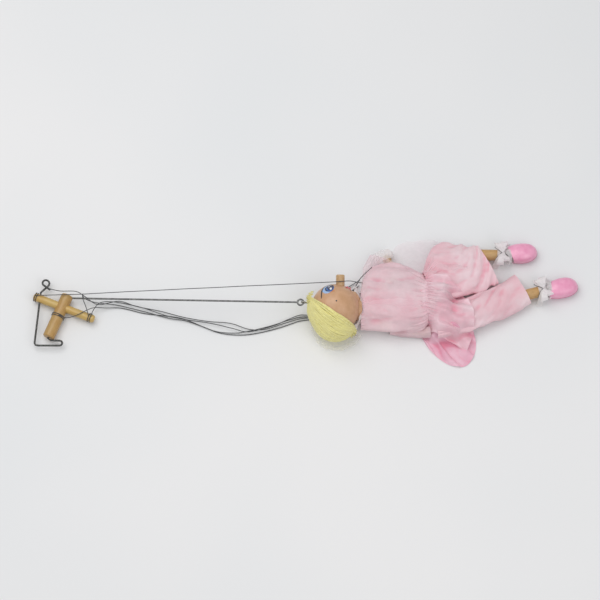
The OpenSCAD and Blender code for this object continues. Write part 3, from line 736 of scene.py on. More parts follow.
def spot(a0, b0, rx, ry, lift, turn=0.0, dome=0.0):
    """A painted oval; dome is how far its middle stands out."""
    verts = [on_head(a0, b0, lift + dome)]
    for k in range(1, SPOT_RINGS + 1):
        grown = k / SPOT_RINGS
        for j in range(SPOT_SIDES):
            f = 2 * math.pi * j / SPOT_SIDES
            place = on_face(a0, b0, rx * math.cos(f) * grown, ry * math.sin(f) * grown, turn)
            verts.append(on_head(*place, lift + dome * (1 + math.cos(math.pi * grown)) / 2))
    middle = [(0, 1 + j, 1 + (j + 1) % SPOT_SIDES) for j in range(SPOT_SIDES)]
    return verts, middle + grid_faces(SPOT_RINGS, SPOT_SIDES, True, 1)


def stroke(a0, b0, points, width, lift):
    """A brush stroke through places given in mm from (a0, b0), thin at both ends."""
    line = smooth_line([(x, y, 0) for x, y in points], STROKE_STEPS)
    verts = []
    for i, p in enumerate(line):
        t = (line[min(i + 1, len(line) - 1)] - line[max(i - 1, 0)]).normalized()
        w = width / 2 * (0.25 + 0.75 * math.sin(math.pi * (0.08 + 0.84 * i / (len(line) - 1))))
        for k in (-1, 0, 1):
            verts.append(on_head(*on_face(a0, b0, p.x - k * w * t.y, p.y + k * w * t.x), lift))
    return verts, grid_faces(len(line), 3, False)


def add_paint(name, parts, material):
    """One piece of paint on the head, made of spots and strokes."""
    verts, faces = [], []
    for v, f in parts:
        first = len(verts)
        verts += v
        faces += [tuple(first + i for i in face) for face in f]
    piece = add_mesh(name, verts, faces, material)
    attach(piece, "head")
    return piece


# %% [markdown]
# ### Eyes and brows
#
# Each eye has a pale blue shade, a white, a blue iris, a dark pupil, two glints, black lashes above
# and fine orange ones below, and a black brow. Only one eye shows in the photograph, so both are
# painted by one loop, with side turning the places round the middle of the face.

# %% Eyes and brows
EYE_A, EYE_B = 31, -15
for side, word in ((1, "right"), (-1, "left")):
    a = side * EYE_A

    def mirrored(points):
        return [(x, side * y) for x, y in points]

    add_paint(f"eye_shade_{word}", [spot(a, EYE_B - 3, 6, 7.4, 0.06, side * 10)], eye_blue)
    add_paint(f"eye_white_{word}", [spot(a, EYE_B + 2, 3.6, 4.6, 0.1, side * 8)], eye_white)
    add_paint(f"iris_{word}", [spot(a - side * 1, EYE_B + 2, 4.2, 6.2, 0.14)], iris_blue)
    add_paint(f"pupil_{word}", [spot(a - side * 3, EYE_B + 3, 3.3, 5.2, 0.18)], pupil_blue)
    glints = [spot(a + side * 4, EYE_B + 4, 1.1, 1.9, 0.22), spot(a - side * 7, EYE_B, 0.6, 1.0, 0.22)]
    add_paint(f"glint_{word}", glints, eye_white)
    lid = mirrored([(0.8, -5.4), (-2.6, -3.6), (-3.7, 0), (-2.6, 3.6), (0.2, 5.2)])
    lashes = [mirrored([(2.2, -4.6 + 0.9 * k), (4.6, -5.6 + 1.2 * k)]) for k in range(4)]
    upper = [stroke(a, EYE_B, lid, 1.3, 0.2)] + [stroke(a, EYE_B, p, 0.8, 0.2) for p in lashes]
    add_paint(f"lashes_{word}", upper, lash_black)
    low = [mirrored([(0.6 + 1.1 * k, 4.6 - 0.1 * k), (1.2 + 1.5 * k, 7.2 - 0.4 * k)]) for k in range(4)]
    add_paint(f"lower_lashes_{word}", [stroke(a, EYE_B, p, 0.6, 0.12) for p in low], lash_orange)
    brow = mirrored([(3, -10), (-3, -8.6), (-6.6, -4), (-8, 2), (-8.6, 12)])
    add_paint(f"brow_{word}", [stroke(a, EYE_B, brow, 1.9, 0.12)], lash_black)

# %% [markdown]
# ### Mouth, chin and ear
#
# The lips are two small domes over one wide one, and the chin is a low bump under them. They stand
# out from the ball, as filler under the paint does, so dome is more than nothing here. A dot marks
# the ear.

# %% Mouth, chin and ear
upper_lips = [spot(way * 7, 29, 2.2, 4.6, 0.08, turn=way * 6, dome=1.2) for way in (1, -1)]
add_paint("lips", upper_lips + [spot(0, 36, 2.2, 5.6, 0.1, dome=1.5)], lip_red)
add_paint("chin", [spot(10, 53, 4.6, 7, 0.02, dome=2.2)], skin)
add_paint("lip_glint", [spot(12, 27, 0.7, 1.6, 0.9, dome=0.2)], eye_white)
add_paint("ear_dot", [spot(72, 2, 0.8, 0.8, 0.06)], lash_black)

# %% [markdown]
# ## Hair
#
# Strands of pale yarn are glued side by side from the crown to the nape over the back of the ball,
# with loose ends at both. A cap of the same yarn lies under them, so that no wood shows between two
# strands. Particle hair would be quicker to lay, but can't be handed on, so each strand is a thin
# tube. The hair's shape is that of two balls: the head, and a smaller one behind it. Chance places
# the strands, from a fixed seed, so that each run gives the same head of hair.

# %% Places on the hair
HAIR_T = 3.4
BULGE_C, BULGE_R = HEAD_C - 0.21 * 2 * HEAD_R * FACE, 0.4 * 2 * HEAD_R
HAIR_FROM = HEAD_C - 6 * FACE
CROWN = Vector((-1, -6, 31))
NAPE = Vector((45, -33, 13))
POLE = (NAPE - CROWN).normalized()
BACK = (-(FACE - FACE.dot(POLE) * POLE)).normalized()
ACROSS = POLE.cross(BACK)


def hair_distance(way, extra):
    """How far the outside of the two balls is from HAIR_FROM in a direction."""
    far = 0
    for centre, r in ((HEAD_C, HEAD_R + HAIR_T), (BULGE_C, BULGE_R + HAIR_T)):
        d = HAIR_FROM - centre
        b = d.dot(way)
        far = max(far, -b + math.sqrt(max(0, b * b - d.dot(d) + (r + extra) ** 2)))
    return far


def on_hair(theta, phi, extra):
    """A place on the hair, theta degrees on from the crown and phi degrees round from its back."""
    t, f = math.radians(theta), math.radians(phi)
    way = -math.cos(t) * POLE + math.sin(t) * (math.cos(f) * BACK + math.sin(f) * ACROSS)
    return above_table(HAIR_FROM + hair_distance(way, extra) * way, 0.6)


# %% Cap under the strands
# Painted shade: the cap under the strands is the same yarn in a darker copy.
cap = add_grid("hair_cap", lambda s, u: on_hair(8 + 164 * s, -88 + 176 * u, -2.1), 28, 44, shaded_yarn)
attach(cap, "head")
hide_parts("hair")

# %% Strands of yarn
STRANDS, CROWN_ENDS, NAPE_ENDS = 170, 46, 40
STRAND_STEPS, STRAND_SIDES = 12, 6
rng = random.Random(7)
strands = []
for i in range(STRANDS):
    phi = -90 + 180 * (i + rng.random()) / STRANDS
    sway = rng.uniform(-3, 3)
    turn = rng.uniform(0, 360)
    level = rng.choice((-1.2, -0.9, -0.5, -0.1, 0.2))
    start, stop = rng.uniform(2, 12), rng.uniform(158, 178)
    line = []
    for k in range(STRAND_STEPS + 1):
        s = k / STRAND_STEPS
        theta = start + (stop - start) * s
        drift = sway * wave(160 * s + turn) + 1.2 * wave(410 * s + 3 * turn)
        line.append(on_hair(theta, max(-92, min(92, phi + drift)), level + 0.25 * wave(500 * s + turn)))
    radii = [0.55 + 0.3 * math.sin(math.pi * k / STRAND_STEPS) for k in range(STRAND_STEPS + 1)]
    strands.append((line, radii))
for i in range(CROWN_ENDS):
    turn = 360 * i / CROWN_ENDS
    top = on_hair(rng.uniform(3, 14), turn, 0.3)
    away = Vector((-1, 0.15, 0.1)) + 0.5 * Vector((0, wave(turn), wave(turn + 90)))
    out = rng.uniform(1.0, 3.2)
    line = [top, top + 0.6 * out * away, top + out * away + Vector((0, 0, -0.4))]
    strands.append((line, [0.45, 0.4, 0.25]))
for i in range(NAPE_ENDS):
    end = on_hair(rng.uniform(160, 174), -80 + 160 * (i + rng.random()) / NAPE_ENDS, 0.2)
    out = rng.uniform(1.5, 4.5)
    tip = end + out * (0.8 * POLE + 0.4 * BACK) + Vector((0, 0, -0.3 * out))
    tip.z = max(tip.z, 0.6)
    strands.append(([end, (end + tip) / 2 + Vector((0, 0, 0.2)), tip], [0.5, 0.45, 0.25]))
hair = add_tubes("hair_strands", strands, STRAND_SIDES, yarn)
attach(hair, "head")

# %% [markdown]
# ## Veil
#
# A strip of white net is glued under the hair. At the back and the nape it comes out and lies on
# the table as a ruffle with eight folds. It is one sheet of points: for the first part of its
# width, HIDDEN, it keeps to the hair's shape, and past that it turns out and down. A cloth
# simulation could drop it there too, but the few folds that show are quicker to place.


# %% Veil
HIDDEN = 0.45
VEIL_FOLDS = 8


def veil_point(s, u):
    inner = on_hair(48 + 132 * s, -84 + 100 * min(1, u / HIDDEN), -1.8)
    k = max(0, (u - HIDDEN) / (1 - HIDDEN))
    out = Vector((inner.x - HAIR_FROM.x, inner.y - HAIR_FROM.y, 0)).normalized()
    reach = (2.5 + 7.5 * smoothstep(1.6 * s)) * k + 1.2 * k * ruffle(20 * s, 2 * k, 3, 2)
    fold = 1.3 * k * wave(360 * VEIL_FOLDS * s + 60 * k + 90 * ruffle(9 * s, 1, 2, 1.5))
    low = inner.z + (3.2 + 2.2 * ruffle(10 * s, 3 * k, 6, 1.8) - inner.z) * smoothstep(1.5 * k)
    p = inner + reach * out + Vector((0.5 * fold, 0.3 * fold, 0))
    return above_table((p.x, p.y, low + fold * 0.7), 0.4)


veil = add_grid("veil_net_sheet", veil_point, 150, 50, veil_net)
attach(veil, "head")
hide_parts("veil")

# %% [markdown]
# ## Clothes
#
# The bodice, the sleeves and the trouser legs are tubes of thin cloth round a limb, sewn together
# along it and gathered at their ends. A tube follows stations, as in the CAD model, each with its
# x, y, heading, half width and height. Soft folds run along it, fine gathers grow towards a
# gathered end, and smooth noise rumples it. A cloth simulation could make the folds, but here the
# outline has to follow the photograph.


# %% Cloth tubes
FINE_GATHERS = ((0.75, 31, 60), (0.45, 47, 200))  # height, number round the tube, drift along it
ALONG_SHARE = 0.4  # wrinkles are longer along a limb than across it
UNDERSIDE_SHARE = 1.25
TUBE_GAP = 0.35


def along(keys, s):
    """The station at s on a smooth run through keys."""
    x = s * (len(keys) - 1)
    i = min(int(x), len(keys) - 2)
    t = x - i
    near = [keys[max(i - 1, 0)], keys[i], keys[i + 1], keys[min(i + 2, len(keys) - 1)]]
    return [curve_between(a, b, c, d, t) for a, b, c, d in zip(*near)]


def gathers(start=0, start_run=1, end=0, end_from=0.5, end_run=0.5):
    """A function of s: how strong the gathers are near a tube's start and near its end."""

    def strength(s):
        near_end = smoothstep((s - end_from) / end_run)
        near_start = smoothstep((start_run - s) / start_run)
        return end * near_end + start * near_start

    return strength


def rumple(x, y, z, run, cross):
    """Uneven height of rumpled cloth; run and cross are the place along and across the limb."""
    soft = ruffle(run, cross, z, 11) + 0.35 * ruffle(run, cross, z, 5)
    return soft + (0.7 * crease(run, cross, z, 15) + 0.2 * crease(x, y, z, 8))


def tube_surface(keys, folds, depth, gather, wrinkle, seed):
    """A function of (s, u) for a cloth tube.

    folds is the number of soft folds and depth their height, gather(s) the strength of the fine gathers,
    and wrinkle the height of the rumples, which seed makes different from tube to tube.
    """

    def point(s, u):
        x, y, turn, half, high = along(keys, s)
        f = 360 * u
        swell = depth * wave(folds * f + 70 * s) * wave(180 * min(1, s * 1.4))
        fine = sum(height * wave(count * f + drift * s) for height, count, drift in FINE_GATHERS)
        swell += gather(s) * fine
        way = heading(turn)
        q = (half + swell) * wave(f + 90)
        rise = (high / 2 + swell) * wave(f)
        p = Vector((x - q * way.y, y + q * way.x, high / 2 + rise * (UNDERSIDE_SHARE if f > 180 else 1)))
        run = p.dot(way) * ALONG_SHARE
        cross = p.y * way.x - p.x * way.y
        out = Vector((-wave(f + 90) * way.y, wave(f + 90) * way.x, wave(f)))
        p += wrinkle * rumple(p.x, p.y, p.z + seed, run, cross) * out
        return above_table(p, TUBE_GAP)

    return point


def add_cloth(name, keys, rows, cols, material, **shape):
    """A cloth tube as a grid of rows along it and cols round it, with its folds marked."""
    obj = add_grid(name, tube_surface(keys, **shape), rows, cols, material, wrap=True)
    mark_folds(obj, rows, cols, True)
    return obj


# %% [markdown]
# ### Bodice and over-blouse
#
# The bodice fits the wooden torso closely. Over it lies a wide blouse of thinner cloth, gathered at
# the neck and the waist, which gives the doll its broad chest. They are two tubes, as two layers
# were sewn.

# %% Bodice and over-blouse
TORSO_Y = -2.5
bodice = add_cloth(
    "bodice_satin",
    [(57, TORSO_Y, 0, 12.6, 26.3), (90, TORSO_Y, 0, 16.2, 29.9), (123, TORSO_Y, 0, 13.2, 25.9)],
    rows=50, cols=220, material=bodice_cloth, folds=8, depth=0.5,
    gather=gathers(start=0.35, start_run=0.25, end=0.5, end_from=0.45), wrinkle=0.9, seed=0,
)
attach(bodice, "torso")
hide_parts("bodice")

blouse = add_cloth(
    "blouse_net",
    [(54.6, -6, 0, 20, 26.5), (62, 3.5, 0, 31, 28), (80, 5.5, 0, 35.5, 30), (95, 5, 0, 35.4, 30),
     (107, 2.5, 0, 33, 29), (116, 1.5, 0, 28, 27.5), (121.5, 0.5, 0, 21.5, 27)],
    rows=70, cols=300, material=blouse_cloth, folds=9, depth=0.9,
    gather=gathers(start=0.5, start_run=0.15, end=0.8, end_run=0.4), wrinkle=1.8, seed=20,
)
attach(blouse, "torso")

# %% [markdown]
# ### Sleeves
#
# The left sleeve is clear net, pulled together at the shoulder and the elbow, and the arm shows
# through it. The right arm lies beside the body in a narrow sleeve of blouse cloth.

# %% Sleeves
sleeve_left = add_cloth(
    "sleeve_left_net",
    [(68.5, 18.1, 78, 12.5, 18), (77, 31.9, 72, 19.5, 17.5), (82, 46.9, 68, 19, 15)],
    rows=40, cols=170, material=sleeve_net, folds=6, depth=0.8,
    gather=gathers(start=0.5, start_run=0.25, end=0.7), wrinkle=1.2, seed=40,
)
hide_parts("sleeve_left")
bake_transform(sleeve_left)

sleeve_right = add_cloth(
    "sleeve_right_net",
    [(85, -25, -18, 5.4, 14), (98, -26.8, -10, 5.6, 13.5), (111, -27.3, 0, 6, 13),
     (124, -27.2, 4, 5.6, 12.5)],
    rows=40, cols=110, material=blouse_cloth, folds=5, depth=0.4,
    gather=gathers(end=0.4), wrinkle=0.5, seed=60,
)
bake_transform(sleeve_right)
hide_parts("sleeve_right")

# %% [markdown]
# ### Trousers
#
# Both legs are wide and loose, gathered under the skirt and open above the bows. They are thin
# cotton that lies nearly flat on the table, in folds that run along the leg and creases that cross
# them. The left leg is pulled up and so is wider and shorter. The stations are kept as named lists,
# because the skirt lies on both legs and needs their height.

# %% Trousers
TROUSER_LEFT = [(121, 20, 20, 12, 22), (131, 29.5, 18, 24, 22), (143, 35.5, 14, 28.5, 21),
                (156, 37.5, 14, 28, 20), (169, 39, 18, 25, 19), (183, 43, 27, 20.8, 18)]
TROUSER_RIGHT = [(130.8, -19, 2, 16.5, 22), (151, -14.5, 8, 16.6, 20.5), (172, -6.5, 16, 16.6, 19),
                 (194.5, 4, 23, 16.8, 17.5), (217.3, 17, 28, 17, 16)]
trouser_left = add_cloth(
    "trouser_left_cotton", TROUSER_LEFT,
    rows=76, cols=240, material=trouser_cloth, folds=7, depth=1.0,
    gather=gathers(start=0.9, start_run=0.35), wrinkle=2.2, seed=80,
)
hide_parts("trouser_left")
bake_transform(trouser_left)

trouser_right = add_cloth(
    "trouser_right_cotton", TROUSER_RIGHT,
    rows=90, cols=200, material=trouser_cloth, folds=7, depth=1.0,
    gather=gathers(start=0.6, start_run=0.3), wrinkle=1.6, seed=100,
)
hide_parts("trouser_right")
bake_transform(trouser_right)

# %% [markdown]
# ## Overskirt
#
# A short gathered skirt hangs from the waist over both trouser legs, and a flap of deeper pink
# shows under its edge. Cloth that lies on something takes its height. So the top of the hips and
# the legs is measured on a grid first, and smoothed three times, because cloth spans narrow gaps. A
# Shrinkwrap modifier would follow every fold beneath and look wet.

# %% Height of what lies under the skirt
FIELD_X, FIELD_Y, PITCH = 104, -72, 2
FIELD_COLS, FIELD_ROWS = 42, 68
HIPS = (128, 0.5, 0, 21, 27.5)
HIPS_REACH, HIPS_FADE = 20, 8
LEG_STEPS, LEG_NEAR = 20, 6


def station_top(station, x, y):
    """How far (x, y) is along from a station, and the top of the cloth tube there."""
    sx, sy, turn, half, high = station
    way = heading(turn)
    dx, dy = x - sx, y - sy
    side = (dy * way.x - dx * way.y) / half
    top = high / 2 * (1 + math.sqrt(1 - side * side)) if abs(side) < 1 else 0
    return abs(dx * way.x + dy * way.y), top


def top_height(x, y):
    """Top of the hips and the two trouser legs at (x, y)."""
    best = 0.5
    for keys in (TROUSER_LEFT, TROUSER_RIGHT):
        near, top = min(station_top(along(keys, k / LEG_STEPS), x, y) for k in range(LEG_STEPS + 1))
        if near < LEG_NEAR:
            best = max(best, top)
    near, top = station_top(HIPS, x, y)
    return max(best, top * smoothstep((HIPS_REACH - near) / HIPS_FADE))


def smoothed(heights):
    """Each height becomes the mean of itself and its eight neighbours."""
    last_i, last_j = len(heights) - 1, len(heights[0]) - 1
    result = []
    for i in range(last_i + 1):
        lines = [heights[min(max(i + a, 0), last_i)] for a in (-1, 0, 1)]
        columns = [[min(max(j + b, 0), last_j) for b in (-1, 0, 1)] for j in range(last_j + 1)]
        result.append([sum(line[k] for line in lines for k in near) / 9 for near in columns])
    return result


field = [
    [top_height(FIELD_X + PITCH * i, FIELD_Y + PITCH * j) for j in range(FIELD_ROWS)]
    for i in range(FIELD_COLS)
]
for _ in range(3):
    field = smoothed(field)
print(f"the legs and hips are up to {max(max(line) for line in field):.1f} mm high under the skirt")


def draped(x, y):
    """The smoothed height that cloth takes over the hips and legs."""
    fx = min(max((x - FIELD_X) / PITCH, 0), FIELD_COLS - 1.001)
    fy = min(max((y - FIELD_Y) / PITCH, 0), FIELD_ROWS - 1.001)
    i, j = int(fx), int(fy)
    a, b = fx - i, fy - j
    return ((1 - a) * ((1 - b) * field[i][j] + b * field[i][j + 1])
            + a * ((1 - b) * field[i + 1][j] + b * field[i + 1][j + 1]))


# %% [markdown]
# ### Skirt and underflap
#
# Each is a fan: cloth that spreads from a short waist line to a long hem line, with pleats that
# open towards the hem and fine gathers that fade out below the waist. Both lines were read off the
# photograph. The flap lies lower than the skirt, so that only its edge shows.

# %% Skirt and underflap
SKIRT_WAIST = [(111, -23), (116, -10), (119, 4), (120, 15), (119, 25)]
SKIRT_HEM = [(160, -47), (166, -31), (167, -13), (161, 3), (151, 16), (138, 28)]
FLAP_WAIST = [(110.5, -25), (113, -21), (117, -16), (121, -12)]
FLAP_HEM = [(115.5, -31), (124.5, -46), (139, -58.5), (152, -62.5), (161, -60), (168, -49), (169.5, -36),
            (166, -24)]
SKIRT_ROWS, SKIRT_COLS = 64, 230
FLAP_ROWS, FLAP_COLS = 50, 150


def fan(waist, hem, sag, folds, seed):
    """Cloth spreading from a waist line to a hem line over what lies under it."""

    def point(s, u):
        wx, wy = along(waist, u)
        hx, hy = along(hem, u)
        x, y = wx + (hx - wx) * s, wy + (hy - wy) * s
        bend = 2.2 * math.sin(math.pi * s) * ruffle(6 * u, 2 * s, seed, 1)
        pleat = wave(360 * folds * u + 50 * s + 90 * ruffle(x, y, seed, 22))
        gather = (1 - smoothstep(s * 2.6)) * (0.8 * wave(360 * 27 * u) + 0.5 * wave(360 * 41 * u + 90 * s))
        crumple = 1.6 * ruffle(x, y, 5 + seed, 16) + 0.7 * ruffle(x, y, 9 + seed, 7)
        crumple += 1.3 * crease(x, y, 3 + seed, 15)
        z = draped(x, y) + sag + 2.1 * smoothstep(s * 2) * (1 - pleat)
        z += gather + smoothstep(s * 3) * crumple
        return above_table((x + bend, y + 0.5 * bend, z), 0.4)

    return point


skirt_fan = fan(SKIRT_WAIST, SKIRT_HEM, sag=1.6, folds=6, seed=0)
skirt = add_grid("skirt_top", skirt_fan, SKIRT_ROWS, SKIRT_COLS, skirt_cloth)
mark_folds(skirt, SKIRT_ROWS, SKIRT_COLS)
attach(skirt, "torso")
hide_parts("skirt")

flap_fan = fan(FLAP_WAIST, FLAP_HEM, sag=-2.6, folds=4, seed=50)
flap = add_grid("skirt_underflap", flap_fan, FLAP_ROWS, FLAP_COLS, flap_cloth)
mark_folds(flap, FLAP_ROWS, FLAP_COLS)
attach(flap, "torso")


# %% [markdown]
# ### Waist
#
# Where the skirt is drawn together, a narrow band of 37 tight gathers bulges round the body. It
# hides the edges of the blouse, the skirt and the trousers, which all end under it.


# %% Waist
WAIST_ROWS, WAIST_COLS = 12, 260
WAIST_GATHERS = 37


def waist_point(s, u):
    """A place on the band; s runs along the body and u round it."""
    f = 360 * u
    x = 116 + 6.5 * s + 1.2 * wave(3 * f + 40) - 3 * smoothstep(-wave(f + 90))
    bulge = 1.6 * wave(180 * s) + 0.6 * wave(WAIST_GATHERS * f + 150 * s)
    bulge += 1.3 * ruffle(4 * wave(f), 4 * wave(f + 90), s, 1.1)
    y = 0.5 + (22.5 + bulge) * wave(f + 90)
    z = 13.6 + (13.6 + bulge) * wave(f)
    return above_table((x, y, z), 0.4)


waist = add_grid("waist_gather", waist_point, WAIST_ROWS, WAIST_COLS, skirt_cloth, wrap=True)
mark_folds(waist, WAIST_ROWS, WAIST_COLS, True, reach=3, strength=0.2)
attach(waist, "torso")

# %% [markdown]
# ## Lace collar
#
# A ruff of white lace stands round the neck between the head and the bodice. It is a ring that
# widens from the neck towards the head, with an edge of 22 scallops, and it stops just short of the
# ball. Lace has a pattern of holes. At this size only its edge and its haze show, so the net finish
# stands for it.


# %% Lace collar
COLLAR_ROWS, COLLAR_COLS = 12, 264
COLLAR_WAVES = 11
NECK_X = 57.4
BALL_GAP = 2.2


def collar_point(s, u):
    """A place on the collar; s runs from the neck outwards and u round it."""
    f = 360 * u
    scallop = 1 + 0.05 * abs(wave(COLLAR_WAVES * f)) * s
    y = TORSO_Y - 3.5 - 0.5 * s + (6.2 + 16.6 * s) * scallop * wave(f + 90)
    z = 15 + (6 + 8 * s) * scallop * wave(f)
    ball = (HEAD_R + BALL_GAP) ** 2 - (y - HEAD_C.y) ** 2 - (z - HEAD_C.z) ** 2
    outer = max(48.5, HEAD_C.x + math.sqrt(max(0, ball)))
    ripple = 0.9 * wave(COLLAR_WAVES * f + 30 * s) + 0.5 * wave(4 * f + 50)
    x = NECK_X + (outer - NECK_X) * s + s * ripple
    return above_table((max(x, outer - 0.6), y, z), 0.4)


collar = add_grid("collar_lace", collar_point, COLLAR_ROWS, COLLAR_COLS, lace_net, wrap=True)
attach(collar, "torso")
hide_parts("collar")

# %% [markdown]
# ## Side net
#
# A very sheer net, hardly more than a haze, spreads from the left side of the blouse over the leg
# and the table. It slopes down from the body in small waves. Its finish covers only a fifth of what
# lies behind.


# %% Side net
def haze_point(s, u):
    """A place on the net; s runs towards the feet and u away from the body."""
    x = 80 + 82 * s
    low = 26 + 8 * s
    high = 62 + 10 * math.sin(math.pi * s)
    high += -14 * smoothstep((s - 0.7) / 0.3) - 16 * smoothstep((0.15 - s) / 0.15)
    y = low + (high - low) * u
    z = 19 * (1 - smoothstep(u * 1.15)) + 3.5 + 2.6 * ruffle(x, y, 0, 11)
    z += 1.4 * wave(1400 * s + 60 * u) * u
    return above_table((x, y + 1.2 * ruffle(x, 4, 2, 7), z), 0.5)


haze = add_grid("side_net", haze_point, 80, 44, haze_net)
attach(haze, "torso")


# %% [markdown]
# ## Wrist puff
#
# A cuff of white net stands out round the left wrist. It is a short tube with 13 frills that grow
# towards its open end. It is a little flattened, because it lies on the table.

# %% Wrist puff
WRIST = Vector((78.5, 50, 7.2))
WRIST_TURN = 112
CUFF_FRILLS, CUFF_LENGTH = 13, 11
FLATTENED = 0.72


def puff_point(s, u):
    f = 360 * u
    r = 5.4 + 4.6 * math.sin(math.pi * (0.15 + 0.75 * s)) + 1.1 * wave(CUFF_FRILLS * f + 90 * s) * s
    way, side = heading(WRIST_TURN), heading(WRIST_TURN - 90)
    p = WRIST + way * (CUFF_LENGTH * s - 3) + side * r * wave(f + 90) + UP * FLATTENED * r * wave(f)
    return above_table(p, 0.45)


puff = add_grid("wrist_puff", puff_point, 18, 110, white_net, wrap=True)
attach(puff, "forearm_left")

# %% [markdown]
# ## Shoes
#
# Each shoe is a soft pointed oval of painted leather, flat below and cut straight across at the
# back, where the ankle's ring goes in. A cylinder with a bevel would be too even, so a section with
# rounded corners narrows along the shoe, and its rows lie closer together at the toe. The back edge
# is cut at a slant.

# %% Shape of a shoe
ANKLES = {"left": (Vector((199.509, 53.534, 8)), 8, -1), "right": (Vector((239.621, 16.001, 8)), 10, 14.5)}
SLANT = {"left": -0.34, "right": 0.3}
LINK = 5.55  # from the ankle's axis to the back of the shoe
SHOE_LEN, SHOE_W, SHOE_H = 28, 20, 15
SHOE_ROWS, SHOE_COLS = 30, 72
SOLE_GAP = 0.05


def foot_ways(side):
    """A foot's ankle, its heading and the direction across it."""
    ankle, turn, _ = ANKLES[side]
    return ankle, heading(turn), heading(turn + 90)


def shoe_section(t):
    """Half width and height of the shoe at t from its back edge, 0, to its toe, 1."""
    round_toe = math.sqrt(max(0, 1 - max(0, (t - 0.42) / 0.58) ** 2.3))
    half = SHOE_W / 2 * (0.86 + 0.14 * smoothstep(t / 0.35)) * round_toe
    high = SHOE_H * (0.93 + 0.07 * smoothstep(t / 0.3)) * round_toe ** 0.8
    return half, high


def shoe_point(side):
    ankle, way, across = foot_ways(side)

    def point(s, u):
        t = math.sin(math.pi / 2 * s) if s > 0 else 0
        half, high = shoe_section(t)
        f = 360 * u
        c, d = wave(f + 90), wave(f)
        y = half * math.copysign(abs(c) ** 0.85, c)
        z = high / 2 + high / 2 * math.copysign(abs(d) ** (0.9 if d > 0 else 0.6), d)
        lift = 0.5 * (SHOE_H - high) * 0.55
        back = LINK + SHOE_LEN * t + SLANT[side] * y * (1 - t) ** 1.5
        p = Vector((ankle.x, ankle.y, 0)) + way * back + across * y
        return above_table((p.x, p.y, z + lift), SOLE_GAP)

    return point


# %% [markdown]
# ### Lining, edge shade and frill
#
# A shoe gets its look from its edges. A white lining closes the back, with a raised rim and a
# shallow cup. A darker pink line runs round the bottom edge as a thin tube: painted shade where the
# shoe curves down to the table. A frill of white net with eleven waves stands out where the ankle
# goes in. The lining and the edge line follow the shoe's own points, so they fit it without being
# measured.

# %% Shoes
LINING_SHARE, LINING_DEPTH, CUP_DEPTH = 0.9, 1.2, 2
EDGE_SHADE_STEPS, EDGE_SHADE_R, EDGE_SHADE_LIFT = 60, 0.35, 0.3
EDGE_SHADE_SIDES = (0.97, 0.53)  # round the section, just above the sole on both sides
FRILL_ROWS, FRILL_COLS, FRILL_WAVES = 7, 130, 11


def lining_parts(shape, way):
    """A rim at the shoe's back edge, a narrower one inside it, and a middle point."""
    rim = [shape(0, k / SHOE_COLS) for k in range(SHOE_COLS)]
    centre = sum(rim, Vector()) / SHOE_COLS
    inner = [centre + LINING_SHARE * (p - centre) + LINING_DEPTH * way for p in rim]
    last = 2 * SHOE_COLS
    cup = [(SHOE_COLS + k, SHOE_COLS + (k + 1) % SHOE_COLS, last) for k in range(SHOE_COLS)]
    return rim + inner + [centre + CUP_DEPTH * way], grid_faces(2, SHOE_COLS, True) + cup


def edge_shade_line(shape):
    """Out to the toe along one side of the sole, and back along the other."""
    steps = [k / EDGE_SHADE_STEPS for k in range(EDGE_SHADE_STEPS + 1)]
    out, home = EDGE_SHADE_SIDES
    edge = [shape(t, out) for t in steps] + [shape(1 - t, home) for t in steps]
    return [p + EDGE_SHADE_LIFT * UP for p in edge]


def frill_point(side):
    ankle, way, across = foot_ways(side)

    def point(s, u):
        f = 360 * u
        r = 1 + 0.1 * s + 0.13 * s * wave(FRILL_WAVES * f)
        out = LINK + 1.2 - 4.6 * s + 0.9 * s * wave(7 * f)
        p = ankle + way * out + 8.2 * r * wave(f + 90) * across
        return above_table((p.x, p.y, 7.4 + 7.1 * r * wave(f)), 0.4)

    return point


for side in ANKLES:
    _, way, _ = foot_ways(side)
    shape = shoe_point(side)
    shoe = add_grid(f"shoe_{side}_upper", shape, SHOE_ROWS, SHOE_COLS, shoe_pink, wrap=True)
    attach(shoe, f"shoe_{side}")
    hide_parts(f"shoe_{side}")
    lining = add_mesh(f"shoe_{side}_lining", *lining_parts(shape, way), white_net)
    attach(lining, f"shoe_{side}")
    # Painted shade: a darker pink line round the bottom edge, where the shoe curves down to the table.
    edge_shade = add_tubes(f"shoe_{side}_welt", [(edge_shade_line(shape), EDGE_SHADE_R)], 6, edge_shade_pink)
    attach(edge_shade, f"shoe_{side}")
    frill = add_grid(f"shoe_{side}_frill", frill_point(side), FRILL_ROWS, FRILL_COLS, white_net, wrap=True)
    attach(frill, f"shoe_{side}")

# %% [markdown]
# ## Bows
#
# A bow of sheer white ribbon is tied round each shin above the shoe: two bands round the shin, four
# loops, two tails, and the black thread that holds them. Ribbon is a flat strip that bends one way
# only, so each part is a strip along a line, whose width keeps to the direction of the shin.
# Cutting it from a plane and bending it with a modifier would take a curve for each loop, which the
# lines here already are.

# %% Bows
BAND_R, BAND_STEPS = 6.9, 24
KNOT_RISE = 7.6
LOOPS = (  # side, reach, opening, rise, skew and width of each loop
    (1, 12.5, 4.2, 0, 2.5, 7.5),
    (-1, 12, 4.2, 0, -2, 7.5),
    (1, 9.5, 3.6, 3.5, -5, 6),
    (-1, 9, 3.4, 3, 5.5, 6),
)
LOOP_STEPS, LOOP_FOOT = 20, 2.2
TAILS = ((1, 14, 6), (-1, 13, -7))  # side, reach and skew of each tail


def bow_ways(side):
    """The middle of a bow, its knot, the direction along the shin and the one across it."""
    ankle, _, turn = ANKLES[side]
    way, across = heading(turn), heading(turn + 90)
    middle = ankle - 2.6 * way
    return middle, middle + KNOT_RISE * UP, way, across


